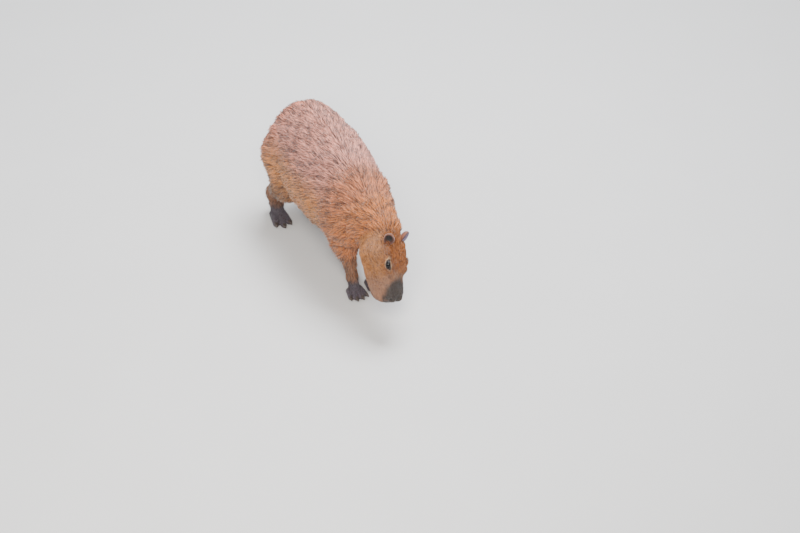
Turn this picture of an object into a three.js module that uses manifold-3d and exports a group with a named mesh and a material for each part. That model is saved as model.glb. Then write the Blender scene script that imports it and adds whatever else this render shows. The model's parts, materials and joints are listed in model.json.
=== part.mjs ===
// A capybara with its head lowered and tilted, as a life-size still model: one mesh for each named part.
// Millimetres. The animal faces +X, its left side is +Y, and the soles of its feet are on z = 0.
//
// The flesh is one smooth field: a few lofted and tapered forms that melt into each other. Each part is
// the stretch of that field inside its own box, meshed on a grid and cut clean where it meets its neighbour.
import * as THREE from "three";
import { mergeVertices } from "three/addons/utils/BufferGeometryUtils.js";
import Module from "manifold-3d";

const wasm = await Module();
wasm.setup();
const { degToRad, clamp } = THREE.MathUtils;

// Driving dimensions
const GAP = 0.3; // clearance between two parts that meet
const NECK_CUT = 238; // X of the plane where the neck leaves the torso
const FORELEG_CUT = 158; // height where a foreleg leaves the torso
const HINDLEG_CUT = 136; // height where a hind leg leaves the torso
const FOREFOOT_CUT = 44; // height of the wrist
const HINDFOOT_CUT = 52; // height of the ankle
const MIDLINE = 10; // Y of the plane between the legs of one side and the other
const FAR = 700; // longer than any part from the middle of the body
const FLANK = 150; // a little outside the widest place of the trunk
const SLIVER = 0.08; // edges shorter than this are closed up after the cuts

// Trunk: half width, height of the centre line, and reach above and below it, at each station along X
const TRUNK_STATIONS = [
  // x, centre z, half width, up, down
  [-340, 294, 98, 112, 104],
  [-280, 296, 114, 138, 122],
  [-200, 292, 127, 160, 140],
  [-80, 290, 137, 171, 152],
  [30, 288, 132, 166, 150],
  [125, 288, 114, 142, 130],
  [195, 288, 97, 117, 108],
  [255, 288, 78, 88, 86],
];
const RUMP_ROUNDING = 100;
const CHEST_ROUNDING = 90;

// How far two forms melt into each other
const BLEND = { neckLinks: 40, neck: 50, head: 30, legLinks: 26, leg: 46, foot: 12, toe: 7 };
const FACE_BLEND = { brow: 16, cheek: 30, nostril: 9, chin: 16 };
const HEAD_REACH = 150; // the head has no part in the body further back than this from the occiput
const FOOT_REACH = 130; // nor a foot any part above this height

// Neck as tapered links: point, radius
const NECK = [
  [[160, 0, 306], 101],
  [[250, 6, 308], 71],
  [[318, 14, 314], 54],
];

// Head: its own frame, u from the occiput to the nose, v to the animal's left, w towards the brow
const OCCIPUT = [333, 20, 328];
const HEAD_PITCH = degToRad(54); // the nose points down
const HEAD_YAW = degToRad(-15); // and a little to the right
const HEAD_ROLL = degToRad(-43); // the right cheek turns up
const HEAD_STATIONS = [
  // u, centre w, half width, up, down, squareness
  [0, -14, 50, 50, 62, 2.1],
  [35, -18, 58, 54, 74, 2.2],
  [72, -22, 62, 60, 76, 2.3],
  [110, -22, 58, 60, 70, 2.4],
  [150, -20, 52, 52, 62, 2.6],
  [184, -16, 48, 47, 56, 2.9],
  [210, -12, 45, 42, 50, 2.9],
  [239, -10, 41, 36, 42, 2.7],
];
const HEAD_ROUNDING = 44;
const NOSE_ROUNDING = 30;
const HEAD_BOX = { low: [3, -84, -106], high: [FAR, 84, FAR] };

// Features of the head on its right side, in the head's frame
const BROW = { from: [68, 34, 21], to: [134, 35, 20], radius: 18 };
const CHEEK = { at: [74, 34, -40], radius: 31 };
const NOSTRIL = { at: [226, 16, 13], rim: 12, half: [8, 3.2, 5.5], tilt: degToRad(38), turn: degToRad(34) };
const NOSTRIL_AHEAD = [6, 4]; // the hollow lies this far in front and outside of the middle of its rim
const CHIN = { from: [206, 0, -44], to: [140, 0, -60], radius: 25, throat: 31 };
const EYE = { at: [113, 42, 26], radius: 16, facing: [0.1, 0.84, 0.52] };
const LIDS = { length: 15, height: 10.4, thickness: 3 };
const MOUTH = [
  [164, 42, -47],
  [190, 42, -39],
  [214, 38, -32],
  [231, 24, -27],
  [238, 0, -24],
];
const LIP_RADIUS = 4.6;
const MOUTH_GROOVE = 1.9;
const LIP_DEPTH = 2; // the lips lie this deep in the face, and the groove this far over it
const EAR = {
  at: [46, 37, 27],
  along: [-0.78, 0.34, 0.52],
  opening: { right: [0.44, -0.6, 0.26], left: [0.5, 0.15, 0.6] }, // the left ear is turned up and forwards
  half: [18, 14, 20], // half its width, depth and length
  wall: 3,
  root: 9, // radius of the root
  sunk: 8, // how far the root goes into the head
  clear: 30, // how far the pocket for the root is cut outwards
  mouth: 3, // where the cup is cut open, in front of its widest place
  hollow: 1.5, // how far the hollow is set forward
};

// Legs: shoulder or hip, elbow or knee, and wrist or hock, each with its radius, then where the foot stands
const LEGS = {
  foreleg_right: {
    chain: [
      [[188, -54, 262], 54],
      [[176, -46, 180], 32],
      [[207, -31, 62], 16],
    ],
    foot: [222, -27],
    heading: -2,
  },
  foreleg_left: {
    chain: [
      [[180, 54, 262], 54],
      [[156, 54, 180], 34],
      [[184, 50, 62], 17],
    ],
    foot: [202, 49],
    heading: 4,
  },
  hindleg_right: {
    chain: [
      [[-222, -66, 262], 82],
      [[-178, -82, 180], 47],
      [[-280, -86, 84], 25],
    ],
    foot: [-252, -86],
    heading: -6,
  },
  hindleg_left: {
    chain: [
      [[-232, 66, 262], 82],
      [[-206, 82, 178], 47],
      [[-310, 84, 84], 25],
    ],
    foot: [-282, 84],
    heading: 6,
  },
};
const FEET = {
  fore: { toes: 4, spread: 12, fan: 10, reach: 46, shorter: 9, toe: 9.5, pad: 19, cut: FOREFOOT_CUT },
  hind: { toes: 3, spread: 15, fan: 9, reach: 66, shorter: 11, toe: 11, pad: 22, cut: HINDFOOT_CUT },
};
// The coat: flat, tapered locks that lie from the head to the rump and down the flanks
const LOCKS = {
  length: 132,
  width: 40,
  thick: 7,
  rise: 8, // height of the tips over the core
  rows: 71, // distance from row to row, and from lock to lock in a row
  lowest: degToRad(112), // how far the rows reach down from the middle of the back
  core: [0, 290], // Y and Z of the line that the rows stand round
  slant: [-1, 0.22, -0.75], // backwards, outwards on the back, and down on the flank
  outside: 200, // further from that line than any point of the flesh
  jitter: 9, // how far a root may be out of its row
};
// A lock's cross sections: how far along, how wide, and how high as a share of the rise
const LOCK_SECTIONS = [
  [0, 0.7, -0.9],
  [0.22, 1, -0.15],
  [0.5, 0.85, 0.5],
  [0.8, 0.45, 0.85],
  [1, 0, 1],
];
const RIDGE = 0.7; // height of a lock's ridge as a share of its thickness
const SUNK = 3.4; // how far the soles are pressed flat
const TOE_ROOT = 3; // how much thicker a toe is at its root
const CLAW_LENGTH = 14;
const CLAW_HOOK = degToRad(12);
const CLAW_RISE = 0.6; // height of a claw's middle over the middle of its toe
const CLAW_BED = 0.35; // where a claw starts in front of the end of the toe's bone, as a share of the toe
const CLAW_BED_WIDTH = 0.95; // half the width of the cut for a claw, as a share of the toe
const CLAW_BED_REACH = 35;
const CLAW_ROOM = 1.2; // room between the bed and its claw, over the gap

// Smooth field helpers. A field is negative inside.
const smoothMin = (a, b, blend) => {
  const h = Math.max(blend - Math.abs(a - b), 0) / blend;
  return Math.min(a, b) - (h * h * blend) / 4;
};

// The stations' values at t, on a smooth curve through them
function alongStations(stations, t) {
  const last = stations.length - 1;
  let i = 0;
  while (i < last - 1 && t > stations[i + 1][0]) i++;
  const s = clamp((t - stations[i][0]) / (stations[i + 1][0] - stations[i][0]), 0, 1);
  const before = stations[Math.max(i - 1, 0)];
  const after = stations[Math.min(i + 2, last)];
  const values = [];
  for (let c = 1; c < stations[0].length; c++) {
    const start = stations[i][c];
    const end = stations[i + 1][c];
    const startSlope = (end - before[c]) / 2;
    const endSlope = (after[c] - start) / 2;
    const rise = 3 * s * s - 2 * s * s * s;
    values.push(start + (end - start) * rise + s * (1 - s) * ((1 - s) * startSlope - s * endSlope));
  }
  return values;
}

// A lofted form: sections that are wide, deep and square as the stations say, rounded off at its ends
function loft(stations, t, side, up, startRounding, endRounding) {
  const [centre, half, above, below, squareness = 2] = alongStations(stations, t);
  const start = Math.max(stations[0][0] + startRounding - t, 0) / startRounding;
  const end = Math.max(t - stations[stations.length - 1][0] + endRounding, 0) / endRounding;
  const y = Math.abs(side) / half;
  const z = Math.abs(up - centre) / (up > centre ? above : below);
  const radial = Math.pow(Math.pow(y, squareness) + Math.pow(z, squareness), 1 / squareness);
  const share = Math.hypot(radial, start, end);
  const size = Math.hypot(side, up - centre, start * startRounding, end * endRounding);
  return share < 1e-6 ? -Math.min(half, above, below) : size * (1 - 1 / share);
}

// A tapered link between two balls
function link(p, a, ra, b, rb) {
  const x = b[0] - a[0];
  const y = b[1] - a[1];
  const z = b[2] - a[2];
  const px = p[0] - a[0];
  const py = p[1] - a[1];
  const pz = p[2] - a[2];
  const h = clamp((px * x + py * y + pz * z) / (x * x + y * y + z * z), 0, 1);
  return Math.hypot(px - x * h, py - y * h, pz - z * h) - (ra + (rb - ra) * h);
}

const ball = (p, at, radius) => Math.hypot(p[0] - at[0], p[1] - at[1], p[2] - at[2]) - radius;

function chain(p, links, blend) {
  let d = Infinity;
  for (let i = 0; i < links.length - 1; i++) {
    const next = link(p, links[i][0], links[i][1], links[i + 1][0], links[i + 1][1]);
    d = i ? smoothMin(d, next, blend) : next;
  }
  return d;
}

// The head's frame
const headFrame = new THREE.Matrix4()
  .makeTranslation(...OCCIPUT)
  .multiply(new THREE.Matrix4().makeRotationZ(HEAD_YAW))
  .multiply(new THREE.Matrix4().makeRotationY(HEAD_PITCH))
  .multiply(new THREE.Matrix4().makeRotationX(HEAD_ROLL));
const toHead = headFrame.clone().invert();
const mirrored = ([u, v, w], side) => [u, v * side, w];

// The head in its own frame; v is folded over, as both sides are alike
function headShape(u, v, w) {
  const q = [u, Math.abs(v), w];
  let d = loft(HEAD_STATIONS, u, v, w, HEAD_ROUNDING, NOSE_ROUNDING);
  d = smoothMin(d, link(q, BROW.from, BROW.radius, BROW.to, BROW.radius), FACE_BLEND.brow);
  d = smoothMin(d, ball(q, CHEEK.at, CHEEK.radius), FACE_BLEND.cheek);
  d = smoothMin(d, ball(q, NOSTRIL.at, NOSTRIL.rim), FACE_BLEND.nostril);
  return smoothMin(d, link(q, CHIN.from, CHIN.radius, CHIN.to, CHIN.throat), FACE_BLEND.chin);
}

const headPlace = new THREE.Vector3();
function headField(p) {
  headPlace.set(p[0], p[1], p[2]).applyMatrix4(toHead);
  return headShape(headPlace.x, headPlace.y, headPlace.z);
}

// A leg's toes: where each one starts and ends, and its direction along the floor
const kindOf = (name) => (name.startsWith("hind") ? FEET.hind : FEET.fore);
function toesOf(name) {
  const kind = kindOf(name);
  const leg = LEGS[name];
  return [...Array(kind.toes).keys()].map((i) => {
    const place = i - (kind.toes - 1) / 2;
    const heading = degToRad(leg.heading + place * kind.fan);
    const across = degToRad(leg.heading + 90);
    const outwards = [Math.cos(across), Math.sin(across)];
    const length = kind.reach - Math.abs(place) * kind.shorter;
    const direction = [Math.cos(heading), Math.sin(heading)];
    const start = [0, 1].map((c) => leg.foot[c] + outwards[c] * place * kind.spread);
    const tip = [0, 1].map((c) => start[c] + direction[c] * length);
    return { start, tip, direction, heading };
  });
}
const TOES = Object.fromEntries(Object.keys(LEGS).map((name) => [name, toesOf(name)]));

// A foot: the ankle runs into a pad, and the toes leave the pad side by side
function footField(p, name) {
  const kind = kindOf(name);
  const leg = LEGS[name];
  const [ankle, ankleRadius] = leg.chain[2];
  let d = link(p, ankle, ankleRadius, [...leg.foot, kind.pad - SUNK], kind.pad);
  for (const toe of TOES[name]) {
    const root = kind.toe + TOE_ROOT;
    const part = link(p, [...toe.start, root - SUNK], root, [...toe.tip, kind.toe - SUNK], kind.toe);
    d = smoothMin(d, part, BLEND.toe);
  }
  return d;
}

function body(p) {
  let d = loft(TRUNK_STATIONS, p[0], p[1], p[2], RUMP_ROUNDING, CHEST_ROUNDING);
  d = smoothMin(d, chain(p, NECK, BLEND.neckLinks), BLEND.neck);
  if (p[0] > OCCIPUT[0] - HEAD_REACH) d = smoothMin(d, headField(p), BLEND.head);
  for (const name of Object.keys(LEGS)) {
    d = smoothMin(d, chain(p, LEGS[name].chain, BLEND.legLinks), BLEND.leg);
    if (p[2] < FOOT_REACH) d = smoothMin(d, footField(p, name), BLEND.foot);
  }
  return d;
}

// Steady numbers from 0 to 1, the same on every run
let seed = 7;
function draw(low, high) {
  seed = (seed * 16807) % 2147483647;
  return low + ((high - low) * seed) / 2147483647;
}

// The way the coat lies at a point: backwards, and more and more downwards from the back to the belly
function lie(p) {
  const [y, z] = [p[1] - LOCKS.core[0], p[2] - LOCKS.core[1]];
  const down = Math.min(Math.abs(Math.atan2(y, z)) / (Math.PI / 2), 1);
  const [backward, outward, downward] = LOCKS.slant;
  return new THREE.Vector3(backward, Math.sign(y) * outward * (1 - down), downward * down);
}

// Solids
function toSolid(geometry) {
  const bare = new THREE.BufferGeometry();
  bare.setAttribute("position", geometry.getAttribute("position"));
  if (geometry.index) bare.setIndex(geometry.index);
  const merged = mergeVertices(bare, 1e-4);
  const triVerts = new Uint32Array(merged.index.array);
  const vertProperties = new Float32Array(merged.attributes.position.array);
  const made = new wasm.Manifold(new wasm.Mesh({ numProp: 3, vertProperties, triVerts }));
  return made.volume() < 0 ? toSolid(turnedOut(merged)) : made;
}

function turnedOut(geometry) {
  const faces = geometry.index.array.slice();
  for (let i = 0; i < faces.length; i += 3) {
    const second = faces[i + 1];
    faces[i + 1] = faces[i + 2];
    faces[i + 2] = second;
  }
  return geometry.clone().setIndex(new THREE.BufferAttribute(faces, 1));
}

const largest = (solid) => solid.decompose().sort((a, b) => b.volume() - a.volume())[0];

// A box between two corners, in a frame, larger by grow on every side
function box(low, high, grow = 0, frame = new THREE.Matrix4()) {
  const size = low.map((v, i) => high[i] - v + 2 * grow);
  const geometry = new THREE.BoxGeometry(...size);
  geometry.translate(...low.map((v, i) => (v + high[i]) / 2));
  return toSolid(geometry.applyMatrix4(frame));
}

// A frame at a point of the head, its Y along one direction and its Z towards another
function headAxes(at, along, facing) {
  const y = new THREE.Vector3(...along).normalize();
  const x = new THREE.Vector3().crossVectors(y, new THREE.Vector3(...facing)).normalize();
  const z = new THREE.Vector3().crossVectors(x, y);
  const frame = new THREE.Matrix4().makeBasis(x, y, z).setPosition(...at);
  return headFrame.clone().multiply(frame);
}

// Moves a point onto the surface of a field, by no more than reach
function settle(field, p, reach, depth = 0) {
  const start = [...p];
  for (let round = 0; round < 4; round++) {
    const d = field(p) + depth;
    const slope = [0, 1, 2].map((c) => {
      const q = [...p];
      q[c] += 0.5;
      return (field(q) + depth - d) / 0.5;
    });
    const steep = slope[0] ** 2 + slope[1] ** 2 + slope[2] ** 2;
    if (steep < 0.01) break;
    p = p.map((v, c) => v - (d * slope[c]) / steep);
  }
  const move = Math.hypot(...p.map((v, c) => v - start[c]));
  const share = move > reach ? reach / move : 1;
  return start.map((v, c) => v + (p[c] - v) * share);
}

// A closed surface where the field is zero, on a grid of cells inside the box
function meshField(field, low, high, cell) {
  const n = [0, 1, 2].map((i) => Math.ceil((high[i] - low[i]) / cell) + 1);
  const value = new Float32Array(n[0] * n[1] * n[2]);
  const index = (i, j, k) => (k * n[1] + j) * n[0] + i;
  const place = (i, j, k) => [low[0] + i * cell, low[1] + j * cell, low[2] + k * cell];
  const atEdge = (i, j, k) => !i || !j || !k || i === n[0] - 1 || j === n[1] - 1 || k === n[2] - 1;
  const eachCell = (visit) => {
    for (let k = 0; k < n[2] - 1; k++)
      for (let j = 0; j < n[1] - 1; j++) for (let i = 0; i < n[0] - 1; i++) visit(i, j, k);
  };
  for (let k = 0; k < n[2]; k++)
    for (let j = 0; j < n[1]; j++)
      for (let i = 0; i < n[0]; i++) {
        const d = field(place(i, j, k));
        value[index(i, j, k)] = atEdge(i, j, k) ? Math.max(d, cell * 0.3) : d;
      }
  const corners = [...Array(8).keys()].map((c) => [c & 1, (c >> 1) & 1, c >> 2]);
  const edges = corners.flatMap((_, a) => [1, 2, 4].filter((bit) => !(a & bit)).map((bit) => [a, a | bit]));
  const vertexOf = new Map();
  const points = [];
  eachCell((i, j, k) => {
    const v = corners.map(([x, y, z]) => value[index(i + x, j + y, k + z)]);
    const crossed = edges.filter(([a, b]) => v[a] < 0 !== v[b] < 0);
    if (!crossed.length) return;
    const at = place(i, j, k);
    const mean = [0, 1, 2].map((c) => {
      const along = ([a, b]) => corners[a][c] + ((corners[b][c] - corners[a][c]) * v[a]) / (v[a] - v[b]);
      return at[c] + (crossed.reduce((sum, edge) => sum + along(edge), 0) / crossed.length) * cell;
    });
    const outer = atEdge(i, j, k) || atEdge(i + 1, j + 1, k + 1);
    vertexOf.set(index(i, j, k), points.length / 3);
    points.push(...(outer ? mean : settle(field, mean, cell * 0.45)));
  });
  const faces = [];
  const steps = [
    [1, 0, 0],
    [0, 1, 0],
    [0, 0, 1],
  ];
  const ring = [
    [0, 0],
    [1, 0],
    [1, 1],
    [0, 1],
  ];
  eachCell((i, j, k) =>
    steps.forEach((step, axis) => {
      const here = value[index(i, j, k)] < 0;
      const there = value[index(i + step[0], j + step[1], k + step[2])] < 0;
      if (here === there) return;
      const u = steps[(axis + 1) % 3];
      const w = steps[(axis + 2) % 3];
      const stepBack = (c, [s, t]) => [i, j, k][c] - s * u[c] - t * w[c];
      const back = (turn) => index(stepBack(0, turn), stepBack(1, turn), stepBack(2, turn));
      const quad = ring.map((turn) => vertexOf.get(back(turn)));
      if (!here) quad.reverse();
      faces.push(quad[0], quad[1], quad[2], quad[0], quad[2], quad[3]);
    }),
  );
  const geometry = new THREE.BufferGeometry();
  geometry.setAttribute("position", new THREE.Float32BufferAttribute(points, 3));
  geometry.setIndex(faces);
  return geometry;
}

const flesh = (low, high, cell) => toSolid(meshField(body, low, high, cell));

// One lock from its root along the lie: a flat underside, a ridge on top, and a tip that stands a little off
function lock(root, length, width) {
  const points = [];
  let at = root;
  LOCK_SECTIONS.forEach(([share, wide, high], i) => {
    if (i) {
      const ahead = lie(at).normalize().multiplyScalar(length * (share - LOCK_SECTIONS[i - 1][0]));
      at = settle(body, [at[0] + ahead.x, at[1] + ahead.y, at[2] + ahead.z], LOCKS.outside);
    }
    const up = slopeOf(body, at);
    const side = new THREE.Vector3().crossVectors(up, lie(at)).normalize();
    const centre = new THREE.Vector3(...at).addScaledVector(up, high * LOCKS.rise);
    if (!wide) points.push(centre);
    else {
      points.push(centre.clone().addScaledVector(side, (wide * width) / 2));
      points.push(centre.clone().addScaledVector(up, LOCKS.thick * wide * RIDGE));
      points.push(centre.clone().addScaledVector(side, (-wide * width) / 2));
    }
  });
  const faces = [0, 2, 1];
  for (let i = 0; i < 9; i += 3)
    for (let k = 0; k < 3; k++) {
      const [a, b] = [i + k, i + ((k + 1) % 3)];
      faces.push(a, b, b + 3, a, b + 3, a + 3);
    }
  for (let k = 0; k < 3; k++) faces.push(9 + k, 9 + ((k + 1) % 3), 12);
  const geometry = new THREE.BufferGeometry().setFromPoints(points);
  return toSolid(geometry.setIndex(faces));
}

function slopeOf(field, p) {
  const d = field(p);
  const moved = (c) => field(p.map((v, i) => v + (i === c ? 0.5 : 0))) - d;
  return new THREE.Vector3(moved(0), moved(1), moved(2)).normalize();
}

// Rows of locks round the body between two places along X, each row set between the locks of the last
function locks(from, to, scale) {
  const made = [];
  const rows = Math.ceil((from - to) / (LOCKS.rows * scale));
  for (let row = 0; row <= rows; row++) {
    const x = from - ((from - to) * row) / rows;
    const radius = settle(body, [x, FLANK, LOCKS.core[1]], LOCKS.outside)[1];
    const step = (LOCKS.rows * scale) / radius;
    const count = Math.floor((2 * LOCKS.lowest) / step);
    for (let i = 0; i < count; i++) {
      const turn = (i - (count - 1) / 2 + (row % 2 ? 0.25 : -0.25)) * step + draw(-0.12, 0.12) * step;
      const height = LOCKS.core[1] + radius * Math.cos(turn);
      const start = [x + draw(-LOCKS.jitter, LOCKS.jitter), radius * Math.sin(turn), height];
      const size = scale * draw(0.85, 1.1);
      made.push(lock(settle(body, start, LOCKS.outside), LOCKS.length * size, LOCKS.width * size));
    }
  }
  return made;
}

// The eye's place, and the ring of its lids
function eyeFrame(side) {
  const facing = new THREE.Vector3(...mirrored(EYE.facing, side)).normalize();
  const browward = new THREE.Vector3(0, 0, 1).addScaledVector(facing, -facing.z);
  return headAxes(mirrored(EYE.at, side), browward.toArray(), facing.toArray());
}

function eyeball(side, grow = 0) {
  return toSolid(new THREE.SphereGeometry(EYE.radius + grow, 14, 9).applyMatrix4(eyeFrame(side)));
}

// Lids: a ring round the opening that lies on the eyeball
function lids(side) {
  const ring = new THREE.TorusGeometry(1, 0.5, 6, 20);
  const places = ring.attributes.position;
  for (let i = 0; i < places.count; i++) {
    const turn = Math.atan2(places.getY(i), places.getX(i));
    const out = Math.hypot(places.getX(i), places.getY(i)) - 1;
    const x = Math.cos(turn) * LIDS.length;
    const y = Math.sin(turn) * LIDS.height;
    const rise = Math.sqrt((EYE.radius + 1) ** 2 - x * x - y * y);
    const wide = 1 + (out * 2 * LIDS.thickness) / LIDS.length;
    places.setXYZ(i, x * wide, y * wide, rise + places.getZ(i) * 2 * LIDS.thickness - 1);
  }
  return toSolid(ring.applyMatrix4(eyeFrame(side)));
}

// A round bar along a line over the head, raised over its surface
function barOnHead(radius, raised) {
  const line = [...MOUTH, ...MOUTH.slice(0, -1).reverse().map((p) => mirrored(p, -1))];
  const field = (p) => headShape(...p);
  const onFace = line.map((p) => new THREE.Vector3(...settle(field, p, NOSE_ROUNDING, -raised)));
  const path = new THREE.CatmullRomCurve3(onFace);
  const section = new THREE.Shape().absarc(0, 0, radius, 0, Math.PI * 2);
  const bar = new THREE.ExtrudeGeometry(section, { steps: 16, curveSegments: 5, extrudePath: path });
  return toSolid(bar.applyMatrix4(headFrame));
}

function nostril(side) {
  const [u, v, w] = NOSTRIL.at;
  const ahead = [u + NOSTRIL_AHEAD[0], (v + NOSTRIL_AHEAD[1]) * side, w];
  const at = settle((p) => headShape(...p), ahead, NOSE_ROUNDING);
  const hollow = new THREE.SphereGeometry(1, 10, 6).scale(...NOSTRIL.half);
  hollow.rotateX(-NOSTRIL.tilt * side).rotateZ(NOSTRIL.turn * side);
  return toSolid(hollow.translate(...at).applyMatrix4(headFrame));
}

// An ear: a cup open to the front and side on a round root that sits in a pocket of the head
const earFrame = (side) =>
  headAxes(mirrored(EAR.at, side), mirrored(EAR.along, side), EAR.opening[side < 0 ? "right" : "left"]);

function earRoot(side, grow = 0) {
  const height = EAR.sunk + EAR.wall + 1 + grow;
  const radius = EAR.root + grow;
  const over = grow ? EAR.clear : 0;
  const root = new THREE.CylinderGeometry(radius, radius, height + over, 14);
  return toSolid(root.translate(0, (height + over) / 2 - EAR.sunk - grow, 0).applyMatrix4(earFrame(side)));
}

// The round form of the ear, thinner by the wall for its hollow, or larger by a gap for the place it lies in
function earCup(side, thin, forward = 0) {
  const [width, depth, length] = EAR.half;
  const form = new THREE.SphereGeometry(1, 14, 9).scale(width - thin, length - thin, depth - thin);
  return toSolid(form.translate(0, length - 1, forward).applyMatrix4(earFrame(side)));
}

function ear(side) {
  const front = box([-FAR, -FAR, EAR.mouth], [FAR, FAR, FAR], 0, earFrame(side));
  const outer = earCup(side, 0).subtract(front).add(earRoot(side));
  return largest(outer.subtract(earCup(side, EAR.wall, EAR.hollow)));
}

// A claw: a blunt, slightly hooked hoof-like cone in front of its toe
function claw(toe, kind) {
  const profile = [
    [0, 0],
    [0.62, 0],
    [0.56, 0.4],
    [0.26, 0.9],
    [0, 1],
  ].map(([r, t]) => new THREE.Vector2(r * kind.toe, t * CLAW_LENGTH));
  const geometry = new THREE.LatheGeometry(profile, 8);
  geometry.rotateZ(-Math.PI / 2).scale(1, 1, 0.85).rotateY(CLAW_HOOK).rotateZ(toe.heading);
  const start = kind.toe * CLAW_BED + GAP + CLAW_ROOM;
  const at = [0, 1].map((c) => toe.tip[c] + toe.direction[c] * start);
  return toSolid(geometry.translate(...at, kind.toe + CLAW_RISE));
}

// The box in front of a toe that its claw stands in
function clawBed(toe, kind) {
  const frame = new THREE.Matrix4().makeRotationZ(toe.heading).setPosition(...toe.tip, 0);
  const half = kind.toe * CLAW_BED_WIDTH;
  return box([kind.toe * CLAW_BED, -half, -FAR], [CLAW_BED_REACH, half, CLAW_BED_REACH], 0, frame);
}

// Materials
const material = (color, roughness) => new THREE.MeshStandardMaterial({ color, roughness, metalness: 0 });
const COAT = material(0xb3866a, 0.85);
const HEAD_COAT = material(0x9a6c48, 0.85);
const EAR_SKIN = material(0x5f4436, 0.8);
const FOOT_SKIN = material(0x5a5052, 0.8);
const CLAW_HORN = material(0x3b3230, 0.5);
const EYE_BLACK = material(0x241712, 0.15);

const group = new THREE.Group();
const triangles = (solid) => {
  const { vertProperties, triVerts } = solid.getMesh();
  const geometry = new THREE.BufferGeometry();
  geometry.setAttribute("position", new THREE.BufferAttribute(vertProperties, 3));
  return geometry.setIndex(new THREE.BufferAttribute(triVerts, 1));
};
function addPart(name, solid, look) {
  const mesh = new THREE.Mesh(triangles(largest(solid.simplify(SLIVER))), look);
  mesh.name = name;
  group.add(mesh);
}

// Cells of the grids, and how far a grid reaches past the cut
const CELL = { torso: 28, neck: 19, head: 11.5, leg: 14, foot: 9 };
const TORSO_GRID = { low: [-400, -200, 90], high: [NECK_CUT + 60, 200, 520] };
const NECK_GRID = { low: [NECK_CUT - 40, -150, 150], high: [420, 160, 450] };
const HEAD_GRID = { low: [210, -150, 40], high: [540, 150, 430] };
const TORSO_LOCKS = [NECK_CUT - 20, -262, 1]; // X of the first and the last row, and the locks' scale
const NECK_LOCKS = [308, 290, 0.6];
const LEG_REACH = { back: 60, front: 110, side: 170 };
const MARGIN = { side: 10, low: 24, foot: 16 };

// Legs and feet
const SIDES = { right: -1, left: 1 };
const legBoxes = {};
for (const [name, leg] of Object.entries(LEGS)) {
  const kind = kindOf(name);
  const side = name.endsWith("right") ? -1 : 1;
  const top = kind === FEET.hind ? HINDLEG_CUT : FORELEG_CUT;
  const [near, far] = side < 0 ? [-LEG_REACH.side, MIDLINE - GAP] : [MIDLINE, LEG_REACH.side];
  const reachBack = Math.min(leg.chain[2][0][0], leg.foot[0]) - LEG_REACH.back;
  const reachFront = leg.foot[0] + LEG_REACH.front;
  const low = [reachBack, near, 0];
  const high = [reachFront, far, top];
  legBoxes[name] = [low, high];
  const outerLow = [reachBack, near - MARGIN.side, -MARGIN.low];
  const outerHigh = (height) => [reachFront, far + MARGIN.side, height];
  const whole = flesh(outerLow, outerHigh(top + MARGIN.low), CELL.leg);
  const shank = [low[0], low[1], kind.cut + GAP];
  addPart(name, whole.intersect(box(shank, high)), COAT);
  const foot = flesh(outerLow, outerHigh(kind.cut + MARGIN.foot), CELL.foot);
  const beds = TOES[name].map((toe) => clawBed(toe, kind));
  const footName = name.replace("leg", "foot");
  const cutFoot = foot.intersect(box(low, [high[0], high[1], kind.cut]));
  addPart(footName, beds.reduce((solid, bed) => solid.subtract(bed), cutFoot), FOOT_SKIN);
  TOES[name].forEach((toe, i) => addPart(`claw_${footName}_${i + 1}`, claw(toe, kind), CLAW_HORN));
}

// Torso and neck
const headBox = (grow) => box(HEAD_BOX.low, HEAD_BOX.high, grow, headFrame);
const withLocks = (core, made) => made.reduce((solid, one) => solid.add(one), core);
const torsoCore = flesh(TORSO_GRID.low, TORSO_GRID.high, CELL.torso);
const torso = withLocks(torsoCore, locks(...TORSO_LOCKS))
  .intersect(box([-FAR, -FAR, -FAR], [NECK_CUT, FAR, FAR]))
  .subtract(headBox(GAP));
addPart(
  "torso",
  Object.values(legBoxes).reduce((solid, [low, high]) => solid.subtract(box(low, high, GAP)), torso),
  COAT,
);
const neckCore = flesh(NECK_GRID.low, NECK_GRID.high, CELL.neck);
const neck = withLocks(neckCore, locks(...NECK_LOCKS))
  .intersect(box([NECK_CUT + GAP, -FAR, -FAR], [FAR, FAR, FAR]))
  .subtract(headBox(GAP));
addPart("neck", neck, COAT);

// Head with its lids, lips, nostrils and the pockets of the ears
let head = flesh(HEAD_GRID.low, HEAD_GRID.high, CELL.head).intersect(headBox(0));
head = head.add(barOnHead(LIP_RADIUS, -LIP_DEPTH)).subtract(barOnHead(MOUTH_GROOVE, LIP_DEPTH));
for (const side of Object.values(SIDES)) {
  head = head.add(lids(side)).subtract(eyeball(side, GAP));
  head = head.subtract(nostril(side)).subtract(earRoot(side, GAP)).subtract(earCup(side, -GAP));
}
addPart("head", head, HEAD_COAT);
for (const [word, side] of Object.entries(SIDES)) {
  addPart(`eye_${word}`, eyeball(side), EYE_BLACK);
  addPart(`ear_${word}`, ear(side), EAR_SKIN);
}

// The origin is on the floor under the middle of the animal
const bounds = new THREE.Box3().setFromObject(group);
const middle = bounds.getCenter(new THREE.Vector3());
group.position.set(-middle.x, -middle.y, -bounds.min.z);

export default group;
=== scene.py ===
# %% [markdown]
# # A capybara with its head lowered
# A life-size still model of a grazing capybara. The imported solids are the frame: they give the size, the
# place and the forms. This lesson lays one skin inside them, gives it lids, nostrils, lips, ears, eyes and
# claws, and then grows a coarse coat of mesh tufts over it. Lengths in the forms are millimetres, as in the
# solids' source, and become metres when a mesh is made.

# %% Load the frame
import json
import math

import bmesh
import bpy
import numpy as np
from mathutils import Matrix, Vector

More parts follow.
